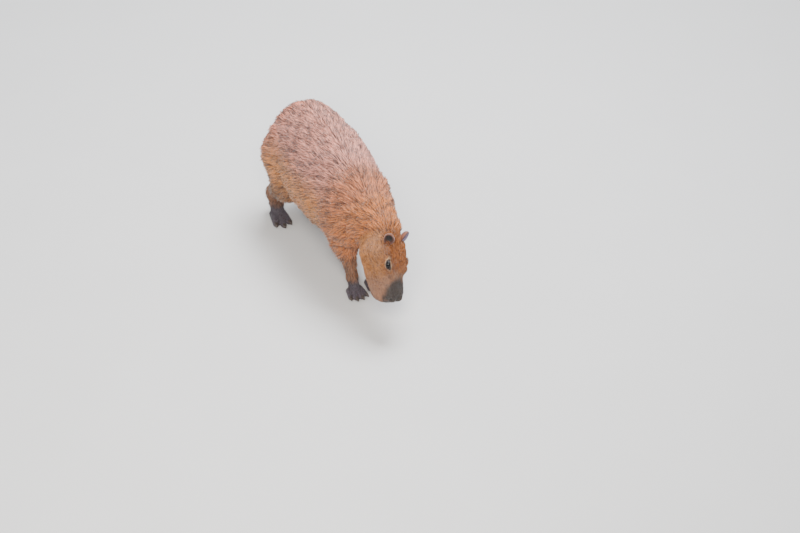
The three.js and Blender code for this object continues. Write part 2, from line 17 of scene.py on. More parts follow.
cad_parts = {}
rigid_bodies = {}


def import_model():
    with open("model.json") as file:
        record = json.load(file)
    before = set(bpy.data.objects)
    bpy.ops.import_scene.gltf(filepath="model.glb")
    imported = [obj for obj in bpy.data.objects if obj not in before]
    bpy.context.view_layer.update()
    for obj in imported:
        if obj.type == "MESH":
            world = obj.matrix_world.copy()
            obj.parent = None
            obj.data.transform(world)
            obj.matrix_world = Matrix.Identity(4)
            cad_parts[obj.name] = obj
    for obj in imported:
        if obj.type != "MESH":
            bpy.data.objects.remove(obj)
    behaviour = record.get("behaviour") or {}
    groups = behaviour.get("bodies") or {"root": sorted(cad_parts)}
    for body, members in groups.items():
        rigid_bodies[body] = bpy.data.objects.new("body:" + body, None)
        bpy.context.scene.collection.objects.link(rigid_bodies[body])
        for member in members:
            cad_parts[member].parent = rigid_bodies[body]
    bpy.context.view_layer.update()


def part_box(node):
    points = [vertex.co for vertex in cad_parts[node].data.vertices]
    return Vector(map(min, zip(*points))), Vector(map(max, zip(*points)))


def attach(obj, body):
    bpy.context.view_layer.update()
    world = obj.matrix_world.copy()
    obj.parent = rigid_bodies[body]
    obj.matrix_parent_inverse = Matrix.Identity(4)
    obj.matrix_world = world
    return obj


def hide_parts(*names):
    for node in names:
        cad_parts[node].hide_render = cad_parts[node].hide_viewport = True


for leftover in list(bpy.data.objects):
    bpy.data.objects.remove(leftover)
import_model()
MM = 0.001

# %% [markdown]
# ## Where the head is
# The head has its own frame: u runs from the occiput to the nose, v to the animal's left and w to the brow.
# Every feature of the face is placed in it. The solids were moved so that the origin lies under the middle
# of the box. The eye is a ball in both frames, so the distance between its two places gives that move.

# %% The head's frame and the shift
OCCIPUT = np.array([333.0, 20.0, 328.0])
HEAD_PITCH, HEAD_YAW, HEAD_ROLL = (math.radians(v) for v in (54, -15, -43))
HEAD_FROM = 300  # only the neck and the head lie further forwards
EYE_AT = np.array([113.0, 42.0, 26.0])
EYE_FACING = np.array([0.1, 0.84, 0.52])
RIGHT, LEFT = -1, 1
EAR_AT = np.array([46.0, 37.0, 27.0])
EAR_ALONG = np.array([-0.78, 0.34, 0.52])
EAR_MIDDLE = 19  # from the root to the middle of the cup


def turned(yaw, pitch, roll):
    """The matrix of a turn about X, then Y, then Z."""
    cy, sy, cp, sp, cr, sr = (f(a) for a in (yaw, pitch, roll) for f in (math.cos, math.sin))
    about_z = np.array([[cy, -sy, 0], [sy, cy, 0], [0, 0, 1]])
    about_y = np.array([[cp, 0, sp], [0, 1, 0], [-sp, 0, cp]])
    about_x = np.array([[1, 0, 0], [0, cr, -sr], [0, sr, cr]])
    return about_z @ about_y @ about_x


HEAD_AXES = turned(HEAD_YAW, HEAD_PITCH, HEAD_ROLL)


def from_head(q):
    """Points of the head's frame in the body's frame."""
    return OCCIPUT + np.asarray(q) @ HEAD_AXES.T


def to_head(p):
    """Points of the body's frame in the head's frame."""
    return (p - OCCIPUT) @ HEAD_AXES


def mirrored(q, side):
    """A place or direction of the left half of the head, on either side."""
    return np.array([q[0], q[1] * side, q[2]], float)


eye_low, eye_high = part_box("eye_right")
eye_centre = np.array((eye_low + eye_high) / 2)
SHIFT = eye_centre - from_head(mirrored(EYE_AT, RIGHT)) * MM
print("shift of the frame in mm", (SHIFT / MM).round(2))

# %% [markdown]
# ## Camera, floor and light
# The photograph looks down on the animal from its right and front. The camera comes first, because it sets
# what is seen and how large it is. A long lens from 12 m keeps the lines nearly parallel, as in a
# photograph taken from far away. Large soft lamps stand for an open sky, and a pale floor shows the feet's
# shadows.

# %% Camera
AZIMUTH, ELEVATION, CAMERA_ROLL = (math.radians(v) for v in (61, 38, 4))
WITHERS = np.array([0.195, 0.0, 0.285]) + SHIFT
BESIDE, BELOW = 0.124, 0.162  # from the withers to the middle of the picture
DISTANCE, LENS = 12.0, 165.2
level = np.array([math.cos(AZIMUTH), math.sin(AZIMUTH), 0])
away = np.array([math.sin(AZIMUTH), -math.cos(AZIMUTH), 0])
back = away * math.cos(ELEVATION) + np.array([0, 0, math.sin(ELEVATION)])
upright = np.cross(back, level)
right = math.cos(CAMERA_ROLL) * level + math.sin(CAMERA_ROLL) * upright
up = math.cos(CAMERA_ROLL) * upright - math.sin(CAMERA_ROLL) * level
place = WITHERS + DISTANCE * back + BESIDE * right - BELOW * up
camera = bpy.data.objects.new("camera", bpy.data.cameras.new("camera"))
bpy.context.scene.collection.objects.link(camera)
camera.matrix_world = Matrix([*np.stack((right, up, back, place), 1).tolist(), (0, 0, 0, 1)])
camera.data.lens = LENS
camera.data.clip_end = 100
bpy.context.scene.camera = camera
print("camera", place.round(2), "above the floor by", round(place[2], 2))


# %% Helpers for nodes, materials and meshes
def new_node(tree, kind, settings=None, **values):
    """A node with its settings and with the values or links of its inputs, given by their names."""
    node = tree.nodes.new(kind)
    for key, value in (settings or {}).items():
        setattr(node, key, value)
    for key, value in values.items():
        name = key.replace("_", " ")
        socket = next(s for s in node.inputs if s.name == name and s.enabled)
        if isinstance(value, bpy.types.NodeSocket):
            tree.links.new(value, socket)
        else:
            socket.default_value = value
    return node


def material(name, **finish):
    """A new material, its node tree and its Principled shader with plain values of its inputs."""
    made = bpy.data.materials.new(name)
    made.use_nodes = True
    shader = made.node_tree.nodes["Principled BSDF"]
    for key, value in finish.items():
        shader.inputs[key.replace("_", " ")].default_value = value
    return made, made.node_tree, shader


def place_in(tree, scale=(1, 1, 1), turn=(0, 0, 0)):
    """Object coordinates turned and stretched."""
    place = tree.nodes.new("ShaderNodeTexCoord").outputs["Object"]
    return new_node(tree, "ShaderNodeMapping", None, Vector=place, Rotation=turn, Scale=scale).outputs[0]


def ramped(tree, value, stops):
    """A value turned into colours in linear light, from stops of a place and a colour each."""
    node = new_node(tree, "ShaderNodeValToRGB", None, Fac=value)
    elements = node.color_ramp.elements
    elements.remove(elements[1])
    for i, (spot, color) in enumerate(stops):
        stop = elements.new(spot) if i else elements[0]
        stop.position = spot
        stop.color = (*color, 1)
    return node.outputs["Color"]


def mesh_object(name, points, faces, look=None):
    """A smooth mesh object at the origin from points in metres and lists of corners."""
    data = bpy.data.meshes.new(name)
    data.from_pydata([tuple(p) for p in points], [], [tuple(f) for f in faces])
    if look:
        data.materials.append(look)
    data.polygons.foreach_set("use_smooth", [True] * len(data.polygons))
    made = bpy.data.objects.new(name, data)
    bpy.context.scene.collection.objects.link(made)
    return made


print("helpers", [f.__name__ for f in (new_node, material, place_in, ramped, mesh_object)])

# %% Floor
FLOOR_REACH = 30
FLOOR_TINTS = ((0.0, (0.72, 0.715, 0.70)), (1.0, (0.76, 0.755, 0.74)))
floor_look, floor_tree, floor_shader = material("floor_paper", Roughness=0.9)
grain = new_node(floor_tree, "ShaderNodeTexNoise", None, Vector=place_in(floor_tree), Scale=3.0)
tint = ramped(floor_tree, grain.outputs["Fac"], FLOOR_TINTS)
floor_tree.links.new(tint, floor_shader.inputs["Base Color"])
corners = [(x * FLOOR_REACH, y * FLOOR_REACH, 0) for x, y in ((-1, -1), (1, -1), (1, 1), (-1, 1))]
floor = mesh_object("floor", corners, [(0, 1, 2, 3)], floor_look)
print("floor", 2 * FLOOR_REACH, "m wide")

# %% Lamps
LAMPS_AIM = Vector((0, 0, 0.25))


def lamp(name, at, size, power, color):
    """A square soft lamp that looks at the animal."""
    light = bpy.data.lights.new(name, "AREA")
    light.size, light.energy, light.color = size, power, color
    made = bpy.data.objects.new(name, light)
    made.location = at
    made.rotation_euler = (LAMPS_AIM - Vector(at)).to_track_quat("-Z", "Y").to_euler()
    bpy.context.scene.collection.objects.link(made)


lamp("sky", at=(-0.9, 0.9, 3.6), size=2.0, power=260, color=(0.94, 0.96, 1.0))
lamp("key", at=(2.4, -1.6, 3.0), size=1.2, power=150, color=(1.0, 0.95, 0.88))
lamp("fill", at=(-0.5, -4.0, 1.6), size=3.0, power=30, color=(1.0, 0.97, 0.93))
world = bpy.data.worlds.new("studio")
world.use_nodes = True
world.node_tree.nodes["Background"].inputs["Color"].default_value = (0.9, 0.93, 1.0, 1)
world.node_tree.nodes["Background"].inputs["Strength"].default_value = 0.6
bpy.context.scene.world = world

# %% [markdown]
# ## The form of the flesh
# A capybara is a barrel on short legs, with a big wedge of a head. One smooth field holds all of it: lofted
# and tapered forms that melt into each other, negative inside. Separate meshes would show seams at the
# joints, so the skin is the one surface where the field is zero. The numbers are those of the solids.

# %% Driving dimensions of the forms
TRUNK = [  # x, centre z, half width, up, down
    (-340, 294, 98, 112, 104),
    (-280, 296, 114, 138, 122),
    (-200, 292, 127, 160, 140),
    (-80, 290, 137, 171, 152),
    (30, 288, 132, 166, 150),
    (125, 288, 114, 142, 130),
    (195, 288, 97, 117, 108),
    (255, 288, 78, 88, 86),
]
RUMP_ROUNDING, CHEST_ROUNDING = 100, 90
NECK = [((160, 0, 306), 101), ((250, 6, 308), 71), ((318, 14, 314), 54)]
HEAD = [  # u, centre w, half width, up, down, squareness
    (0, -14, 50, 50, 62, 2.1),
    (35, -18, 58, 54, 74, 2.2),
    (72, -22, 62, 60, 76, 2.3),
    (110, -22, 58, 60, 70, 2.4),
    (150, -20, 52, 52, 62, 2.6),
    (184, -16, 48, 47, 56, 2.9),
    (210, -12, 45, 42, 50, 2.9),
    (239, -10, 41, 36, 42, 2.7),
]
HEAD_ROUNDING, NOSE_ROUNDING = 44, 30
BROW = ((68, 34, 21), 18, (134, 35, 20), 18)
CHEEK = ((74, 34, -40), 31)
NOSTRIL_RIM = ((226, 16, 13), 12)
CHIN = ((206, 0, -44), 25, (140, 0, -60), 31)
LEGS = {  # shoulder or hip, elbow or knee, wrist or hock, each with its radius; the foot's place and heading
    "foreleg_right": ([((188, -54, 262), 54), ((176, -46, 180), 32), ((207, -31, 62), 16)], (222, -27), -2),
    "foreleg_left": ([((180, 54, 262), 54), ((156, 54, 180), 34), ((184, 50, 62), 17)], (202, 49), 4),
    "hindleg_right": (
        [((-222, -66, 262), 82), ((-178, -82, 180), 47), ((-280, -86, 84), 25)], (-252, -86), -6,
    ),
    "hindleg_left": ([((-232, 66, 262), 82), ((-206, 82, 178), 47), ((-310, 84, 84), 25)], (-282, 84), 6),
}
FORE = dict(toes=4, spread=12, fan=10, reach=46, shorter=9, toe=9.5, pad=19)
HIND = dict(toes=3, spread=15, fan=9, reach=66, shorter=11, toe=11, pad=22)
TOE_ROOT = 3  # how much thicker a toe is at its root
SUNK = 3.4  # how far pads and toes are sunk below the floor, which cuts them flat
FACE_BLEND = dict(brow=16, cheek=30, nostril=9, chin=16)
BLEND = dict(in_neck=40, neck=50, head=30, in_leg=26, leg=46, foot=12, toe=5)
HEAD_REACH, FOOT_REACH = 150, 130  # how far behind the occiput and above the floor head and feet are felt
print("trunk", TRUNK[-1][0] - TRUNK[0][0], "mm and head", HEAD[-1][0], "mm between their end stations")

# %% Field helpers
TINY, NEAR_AXIS = 1e-6, 1e-4


def smooth_min(a, b, blend):
    """The union of two fields, rounded over where they meet."""
    h = np.maximum(blend - np.abs(a - b), 0) / blend
    return np.minimum(a, b) - h * h * blend / 4


def along(stations, t):
    """The stations' values at t, on a smooth curve through them."""
    table = np.array(stations, float)
    last = len(table) - 1
    i = np.clip(np.searchsorted(table[:, 0], t, side="left") - 1, 0, last - 1)
    s = np.clip((t - table[i, 0]) / (table[i + 1, 0] - table[i, 0]), 0, 1)
    before, after = table[np.maximum(i - 1, 0)], table[np.minimum(i + 2, last)]
    start, end = table[i], table[i + 1]
    rise = 3 * s * s - 2 * s**3
    values = []
    for c in range(1, table.shape[1]):
        a, b = (end[:, c] - before[:, c]) / 2, (after[:, c] - start[:, c]) / 2
        values.append(start[:, c] + (end[:, c] - start[:, c]) * rise + s * (1 - s) * ((1 - s) * a - s * b))
    return values


def loft(stations, t, side, height, start_rounding, end_rounding):
    """The field of a form along its stations, with rounded ends."""
    centre, half, above, below, *rest = along(stations, t)
    square = rest[0] if rest else 2.0
    start = np.maximum(stations[0][0] + start_rounding - t, 0) / start_rounding
    end = np.maximum(t - stations[-1][0] + end_rounding, 0) / end_rounding
    y = np.abs(side) / half
    z = np.abs(height - centre) / np.where(height > centre, above, below)
    radial = (y**square + z**square) ** (1 / square)
    share = np.sqrt(radial**2 + start**2 + end**2) + TINY
    across = side**2 + (height - centre) ** 2
    size = np.sqrt(across + (start * start_rounding) ** 2 + (end * end_rounding) ** 2)
    return np.where(share < NEAR_AXIS, -np.minimum(half, above), size * (1 - 1 / share))


def link(p, a, ra, b, rb):
    """The field of a round limb that tapers from a to b."""
    a, b = np.array(a, float), np.array(b, float)
    h = np.clip((p - a) @ (b - a) / ((b - a) @ (b - a)), 0, 1)
    return np.linalg.norm(p - a - h[:, None] * (b - a), axis=1) - (ra + (rb - ra) * h)


def ball(p, at, radius):
    """The field of a ball."""
    return np.linalg.norm(p - np.array(at, float), axis=1) - radius


def chain(p, links, blend):
    """The field of limbs one after another."""
    d = None
    for (a, ra), (b, rb) in zip(links, links[1:]):
        part = link(p, a, ra, b, rb)
        d = part if d is None else smooth_min(d, part, blend)
    return d


print("a blend of 40 mm fills", -smooth_min(0, 0, 40), "mm where two surfaces cross")


# %% Head, feet and the whole body
def head_shape(q):
    """The head in its own frame. Both sides are alike, so v is folded over."""
    f = np.stack([q[:, 0], np.abs(q[:, 1]), q[:, 2]], 1)
    d = loft(HEAD, q[:, 0], q[:, 1], q[:, 2], HEAD_ROUNDING, NOSE_ROUNDING)
    d = smooth_min(d, link(f, *BROW), FACE_BLEND["brow"])
    d = smooth_min(d, ball(f, *CHEEK), FACE_BLEND["cheek"])
    d = smooth_min(d, ball(f, *NOSTRIL_RIM), FACE_BLEND["nostril"])
    return smooth_min(d, link(f, *CHIN), FACE_BLEND["chin"])


def kind_of(name):
    """The sizes of a leg's foot."""
    return HIND if name.startswith("hind") else FORE


def toes_of(name):
    """Start, tip and heading of each toe of a leg."""
    kind = kind_of(name)
    _, foot, heading = LEGS[name]
    across = math.radians(heading + 90)
    made = []
    for i in range(kind["toes"]):
        spot = i - (kind["toes"] - 1) / 2
        turn = math.radians(heading + spot * kind["fan"])
        length = kind["reach"] - abs(spot) * kind["shorter"]
        start = np.array(foot) + np.array([math.cos(across), math.sin(across)]) * spot * kind["spread"]
        made.append((start, start + np.array([math.cos(turn), math.sin(turn)]) * length, turn))
    return made


def foot_field(p, name):
    """The field of a foot: its pad and its toes."""
    kind = kind_of(name)
    links, foot, _ = LEGS[name]
    d = link(p, links[2][0], links[2][1], (*foot, kind["pad"] - SUNK), kind["pad"])
    toe, root = kind["toe"], kind["toe"] + TOE_ROOT
    for start, tip, _ in toes_of(name):
        d = smooth_min(d, link(p, (*start, root - SUNK), root, (*tip, toe - SUNK), toe), BLEND["toe"])
    return d


def body(p):
    """The field of the whole flesh at points of the body's frame."""
    d = loft(TRUNK, p[:, 0], p[:, 1], p[:, 2], RUMP_ROUNDING, CHEST_ROUNDING)
    d = smooth_min(d, chain(p, NECK, BLEND["in_neck"]), BLEND["neck"])
    near = p[:, 0] > OCCIPUT[0] - HEAD_REACH
    d[near] = smooth_min(d[near], head_shape(to_head(p[near])), BLEND["head"])
    for name, (links, _, _) in LEGS.items():
        d = smooth_min(d, chain(p, links, BLEND["in_leg"]), BLEND["leg"])
        low = p[:, 2] < FOOT_REACH
        d[low] = smooth_min(d[low], foot_field(p[low], name), BLEND["foot"])
    return d


print("the middle of the trunk is", round(-body(np.array([[0.0, 0.0, 288.0]]))[0]), "mm inside the flesh")

# %% [markdown]
# ## The skin
# The real skin is one sheet from the nose to the toes. It lies a little inside the solids, so that the coat
# fills the room between. A marching method that puts one vertex in each crossed cell (surface nets) gives
# even quads, which take the later details of the face better than long triangles.

# %% The field of the skin
SKIN_DEPTH = 2.2
THINNER = 0.75  # how much of that depth face and feet lose
SOLE = 0.6


def ramp(t, start, over):
    """From 0 at start to 1 further on, in a straight line. It falls where over is negative."""
    return np.clip((t - start) / over, 0, 1)


def eased(t, start, over):
    """The same as ramp, with a soft start and end."""
    t = ramp(t, start, over)
    return t * t * (3 - 2 * t)


def skin_field(p):
    """The field of the skin: the flesh less the coat's depth, with flat soles just over the floor."""
    on_head = ramp(to_head(p)[:, 0], 60, 60) * (p[:, 0] > HEAD_FROM)
    on_foot = ramp(p[:, 2], 70, -30)
    depth = SKIN_DEPTH * (1 - THINNER * np.maximum(on_head, on_foot))
    return np.maximum(body(p) + depth, SOLE - p[:, 2])


print("the skin lies", SKIN_DEPTH, "mm deep, and", SKIN_DEPTH * (1 - THINNER), "mm on face and feet")

# %% Surface of the field
CELL = 5.0
SKIN_BOX = np.array([(-360.0, -180.0, -6.0), (500.0, 180.0, 475.0)])
PARTS = 12  # parts of the grid worked out one after another, to save memory


def surface_nets(field, low, high, cell):
    """Points and quads of the surface where the field is zero."""
    n = np.ceil((np.array(high) - low) / cell).astype(int) + 1
    axes = [low[i] + cell * np.arange(n[i]) for i in range(3)]
    grid = np.stack(np.meshgrid(*axes, indexing="ij"), -1).reshape(-1, 3)
    value = np.concatenate([field(part) for part in np.array_split(grid, PARTS)]).reshape(n)
    inside = value < 0
    m = n - 1
    total, count = np.zeros((*m, 3)), np.zeros(m)
    corner = lambda a, x, y, z: a[x : x + m[0], y : y + m[1], z : z + m[2]]
    for axis in range(3):
        step = np.eye(3, dtype=int)[axis]
        for s, t in ((0, 0), (0, 1), (1, 0), (1, 1)):
            base = np.insert(np.array([s, t]), axis, 0)
            a, b = corner(value, *base), corner(value, *(base + step))
            crossed = (a < 0) != (b < 0)
            share = np.where(crossed, a / np.where(crossed, a - b, 1), 0)
            total += np.where(crossed[..., None], base + share[..., None] * step, 0)
            count += crossed
    cells = np.argwhere(count > 0)
    number = -np.ones(m, int)
    number[tuple(cells.T)] = np.arange(len(cells))
    points = low + cell * (cells + total[tuple(cells.T)] / count[tuple(cells.T)][:, None])
    quads = []
    for axis in range(3):
        step, u, w = (np.eye(3, dtype=int)[(axis + k) % 3] for k in range(3))
        a = inside[: n[0] - step[0], : n[1] - step[1], : n[2] - step[2]]
        b = inside[step[0] :, step[1] :, step[2] :]
        at = np.argwhere(a != b)
        at = at[(at[:, (axis + 1) % 3] > 0) & (at[:, (axis + 2) % 3] > 0)]
        at = at[(at < m).all(1)]
        ring = [number[tuple((at - s * u - t * w).T)] for s, t in ((0, 0), (1, 0), (1, 1), (0, 1))]
        quad = np.stack(ring, 1)
        flip = ~a[tuple(at.T)]
        quad[flip] = quad[flip][:, ::-1]
        quads.append(quad)
    return points, np.concatenate(quads)


points, quads = surface_nets(skin_field, *SKIN_BOX, CELL)
print("skin", len(points), "points", len(quads), "quads")

# %% Settle the points
STEP = 0.6
SETTLED_BY = 0.45  # of a cell, so that no point passes its neighbours


def slope(field, p):
    """The field's gradient."""
    d = field(p)
    return np.stack([(field(p + STEP * np.eye(3)[c]) - d) / STEP for c in range(3)], 1)


def settled(field, p, reach, rounds=2, gentlest=0.05):
    """Points moved onto the surface of the field, by no more than reach."""
    start = p.copy()
    for _ in range(rounds):
        g = slope(field, p)
        p = p - (field(p) / np.maximum((g**2).sum(1), gentlest))[:, None] * g
        move = p - start
        far = np.linalg.norm(move, axis=1)
        p = start + move * np.minimum(1, reach / np.maximum(far, TINY))[:, None]
    return p


points = settled(skin_field, points, reach=CELL * SETTLED_BY)
points[:, 2] = np.maximum(points[:, 2], SOLE)
print("skin from", points.min(0).round(1), "to", points.max(0).round(1), "mm")

# %% [markdown]
# ## A finer face
# Lids, nostrils and lips are only a few millimetres wide. The whole skin that fine would be heavy, so only
# the faces near the eyes, the nose and the mouth are divided, up to three times, and the new points are
# settled on the field again.

# %% Divide the face where it has features
MOUTH = np.array([(164, 42, -47), (190, 42, -39), (214, 38, -32), (231, 24, -27), (238, 0, -24)], float)
NOSTRIL_AT = np.array([230.0, 19.0, 13.0])
EYE_ROOM, NOSTRIL_ROOM, MOUTH_ROOM = 22, 16, 9  # radius of each feature
DIVIDED_WITHIN = (9.0, 3.0, -5.0)  # from a feature's edge, once for each time
SETTLED_WITHIN = 14


def from_line(q, line):
    """Each point's distance to a line of several pieces, and how far along it is."""
    best, spot = np.full(len(q), 1e9), np.zeros(len(q))
    for i, (a, b) in enumerate(zip(line, line[1:])):
        h = np.clip((q - a) @ (b - a) / ((b - a) @ (b - a)), 0, 1)
        d = np.linalg.norm(q - a - h[:, None] * (b - a), axis=1)
        spot = np.where(d < best, (i + h) / (len(line) - 1), spot)
        best = np.minimum(best, d)
    return best, spot


def feature_distance(p):
    """How far a point is from the edge of the nearest eye, nostril or lip."""
    h = to_head(p)
    f = np.stack([h[:, 0], np.abs(h[:, 1]), h[:, 2]], 1)
    eye = np.linalg.norm(f - EYE_AT, axis=1) - EYE_ROOM
    nose = np.linalg.norm(f - NOSTRIL_AT, axis=1) - NOSTRIL_ROOM
    return np.minimum(np.minimum(eye, nose), from_line(f, MOUTH)[0] - MOUTH_ROOM)


skin_bm = bmesh.new()
verts = [skin_bm.verts.new(p) for p in points]
for quad in quads:
    skin_bm.faces.new([verts[i] for i in quad])
for reach in DIVIDED_WITHIN:
    skin_bm.faces.ensure_lookup_table()
    middles = np.array([f.calc_center_median() for f in skin_bm.faces])
    wanted = np.nonzero(feature_distance(middles) < reach)[0]
    edges = {e for i in wanted for e in skin_bm.faces[i].edges}
    bmesh.ops.subdivide_edges(skin_bm, edges=list(edges), cuts=1, use_grid_fill=True)
bmesh.ops.recalc_face_normals(skin_bm, faces=skin_bm.faces)
bmesh.ops.triangulate(skin_bm, faces=[f for f in skin_bm.faces if len(f.verts) > 4])
skin_mesh = bpy.data.meshes.new("skin")
skin_bm.to_mesh(skin_mesh)
skin_bm.free()
skin_points = np.zeros(len(skin_mesh.vertices) * 3)
skin_mesh.vertices.foreach_get("co", skin_points)
skin_points = skin_points.reshape(-1, 3)
near = feature_distance(skin_points) < SETTLED_WITHIN
skin_points[near] = settled(skin_field, skin_points[near], reach=2.0)
print("skin after dividing", len(skin_points), "points")

# %% [markdown]
# ## Lids, nostrils and lips
# The eye is an almond between two thick lids on a raised ball. Each point near it is moved along its ray
# from the eye's middle: outside the almond out to the lid, inside it back behind the eyeball. Nostrils are
# deep commas with a raised outer rim, and the mouth is a groove between two soft lips. These are moves of
# points rather than cuts, so the skin stays one closed sheet.

# %% Where the face points
head_points = to_head(skin_points)
u, v, w = head_points.T
face_normal = slope(head_shape, head_points)
face_normal /= np.maximum(np.linalg.norm(face_normal, axis=1), TINY)[:, None]
marks = {name: np.zeros(len(head_points)) for name in ("eye", "nostril", "lip")}
moved = head_points.copy()


def bell(t, width):
    """A soft hump of height 1 round zero."""
    return np.exp(-((t / width) ** 2))


def eye_axes(side):
    """Length, height and facing of an eye in the head's frame."""
    facing = mirrored(EYE_FACING, side)
    facing /= np.linalg.norm(facing)
    length = np.array([1.0, 0, 0]) - facing[0] * facing
    length /= np.linalg.norm(length)
    return length, np.cross(facing, length) * side, facing


print("the right eye faces", (HEAD_AXES @ eye_axes(RIGHT)[2]).round(2), "in the body's frame")

# %% Lids and nostrils
ALMOND = (12.8, 6.0)  # half its length along the head and half its height
ALMOND_BEND = 0.0096  # how fast its ends turn down
LID_RADIUS, LID_SWELL, HOLLOW_RADIUS = 15.8, 0.9, 11.5
EYE_REACH = 40  # no lid reaches further from the eye's middle
NOSTRIL_LINE = np.array([(231, 12, 8), (233, 17, 12), (231, 23, 16), (226, 27, 15)], float)
NOSTRIL_WIDTH, NOSTRIL_DEPTH = 3.4, 6.5
RIM_OFF, RIM_WIDTH, RIM_HEIGHT = 7, 3, 1.1
for side in (RIGHT, LEFT):
    centre = mirrored(EYE_AT, side)
    length, height, facing = eye_axes(side)
    ray = head_points - centre
    far = np.linalg.norm(ray, axis=1)
    close = far < EYE_REACH
    onto_lid = np.maximum(LID_RADIUS / np.maximum(far, TINY), 1)
    x, y, z = (ray @ axis * onto_lid for axis in (length, height, facing))
    q = np.hypot(x / ALMOND[0], (y + ALMOND_BEND * x * x) / ALMOND[1])  # 1 on the almond's edge
    lid = 1 - eased(q, 1.7, 1.4)
    hollow = 1 - eased(q, 0.94, 0.12)
    front = eased(z, -2, 6)
    wanted = np.maximum(far, LID_RADIUS + LID_SWELL * np.sin(ramp(q, 1, 0.9) * math.pi))
    new = far + (wanted - far) * lid * front
    new = new + (HOLLOW_RADIUS - new) * hollow * front * close
    moved[close] = centre + ray[close] * (new / np.maximum(far, TINY))[close][:, None]
    marks["eye"] = np.maximum(marks["eye"], (1 - eased(q, 0.95, 1.15)) * front * close)
    from_comma = from_line(head_points, NOSTRIL_LINE * [1, side, 1])[0]
    pit = bell(from_comma, NOSTRIL_WIDTH)
    moved += face_normal * (bell(from_comma - RIM_OFF, RIM_WIDTH) * RIM_HEIGHT - pit * NOSTRIL_DEPTH)[:, None]
    marks["nostril"] = np.maximum(marks["nostril"], pit)
print("lids moved", int((marks["eye"] > 0).sum()), "points")

# %% Lips and wrinkles
LIP_WIDTH, LIP_DEPTH = 2.2, 3.4
SWELL_OFF, SWELL_WIDTH, SWELL_HEIGHT = 5.5, 3.2, 1.2
CLEFT_WIDTH, CLEFT_DEPTH = 2.0, 1.6
WRINKLE_DEPTH = 0.55
FACE_CLEAR = 6  # points further than this from the head's form are the neck's
lip_line = np.concatenate([MOUTH, (MOUTH * [1, -1, 1])[::-1][1:]])
lip_distance, lip_spot = from_line(head_points, lip_line)
fade = eased(lip_spot, 0, 0.05) * eased(lip_spot, 1, -0.05)
marks["lip"] = bell(lip_distance, LIP_WIDTH) * fade
swell = bell(lip_distance - SWELL_OFF, SWELL_WIDTH) * fade
cleft = bell(v, CLEFT_WIDTH) * eased(u, 228, 8) * eased(w, -24, 4) * eased(w, 4, -8)
moved += face_normal * (swell * SWELL_HEIGHT - marks["lip"] * LIP_DEPTH - cleft * CLEFT_DEPTH)[:, None]
wrinkle_zone = eased(u, 128, 12) * eased(u, 196, -16) * eased(w, -46, 20) * eased(w, 40, -20)
wrinkle = np.sin(u * 0.62 + 1.6 * np.sin(w * 0.13) + 0.9 * np.sin(w * 0.31 + v * 0.05))
moved += face_normal * (wrinkle * wrinkle_zone * WRINKLE_DEPTH)[:, None]
on_face = (skin_points[:, 0] > HEAD_FROM) & (head_shape(head_points) < FACE_CLEAR)
skin_points[on_face] = from_head(moved)[on_face]
skin_mesh.vertices.foreach_set("co", (skin_points * MM + SHIFT).ravel())
skin_mesh.update()
for name, mark in marks.items():
    print(name, "marks", int((mark > 0.5).sum()), "points")
print("face moved", int(on_face.sum()), "points")

# %% [markdown]
# ## Unwrapping the skin
# The coat's tufts take their place on a flat picture of the skin, so that a baked texture can colour each
# of them. A smart unwrap cuts the skin where it turns and lays the pieces side by side. It follows the
# skin's own shape.

# %% Make the skin and unwrap it
skin_look, skin_tree, skin_shader = material("skin_under_short_fur", Roughness=0.62, Sheen_Weight=0.15)
skin = bpy.data.objects.new("skin", skin_mesh)
bpy.context.scene.collection.objects.link(skin)
skin_mesh.materials.append(skin_look)
skin_mesh.polygons.foreach_set("use_smooth", [True] * len(skin_mesh.polygons))
skin_mesh.uv_layers.new(name="OFBake")
bpy.context.view_layer.objects.active = skin
skin.select_set(True)
bpy.ops.object.mode_set(mode="EDIT")
bpy.ops.mesh.select_all(action="SELECT")
bpy.ops.uv.smart_project(angle_limit=math.radians(60), island_margin=0.002)
bpy.ops.object.mode_set(mode="OBJECT")
skin.select_set(False)
print("skin", len(skin_mesh.polygons), "faces, unwrapped")

# %% [markdown]
# ## Markings and the way the hair lies
# A wild capybara is one warm brown, but not an even one: tawny on the flanks, orange on the forehead, and
# slate on the nose and feet. The greyed, pinkish top of the back is a painted sheen, lighter where the back
# faces the sky.
# Masks over the skin's own places mix a few named colours. Skin and tufts read the same mix, so that no edge
# shows where the coat thins out. The hair lies from the nose back over the body and down the flanks, and down
# the legs.


# %% Named colours
def linear(r, g, b):
    """A colour given as 0 to 255 as a screen shows it, in linear light."""
    return np.array([(v / 255 / 12.92) if v < 11 else ((v / 255 + 0.055) / 1.055) ** 2.4 for v in (r, g, b)])


COLOURS = {
    # painted sheen: the pinkish grey on top of the back stands in for sky light on the bristles
    "back": linear(199, 135, 117),
    "rump": linear(208, 124, 92),
    "flank": linear(196, 128, 66),
    "belly": linear(132, 86, 46),
    "shoulder": linear(182, 106, 54),
    "neck": linear(188, 110, 48),
    "cheek": linear(170, 110, 58),
    "forehead": linear(142, 80, 26),
    "muzzle": linear(150, 106, 80),
    "nose": linear(56, 43, 35),
    # dark lid skin; round the eye it also carries painted shade from the lids
    "lid": linear(52, 38, 34),
    "eye_ring": linear(206, 168, 128),
    "leg": linear(136, 90, 58),
    "foot": linear(84, 74, 82),
    # painted shade: near black for the shade inside the nostrils
    "hollow": linear(14, 9, 8),
}


def painted(color, *layers):
    """Named colours laid over a colour one after another, each by its mask."""
    for name, mask in layers:
        color = color + (COLOURS[name] - color) * np.clip(mask, 0, 1)[:, None]
    return color


print("colours", ", ".join(COLOURS))

# %% Masks
WAVES, EVENED = 7, 3.2
HIND_TO, FORE_TO = 290, 310  # legs and forefeet lie further back than this


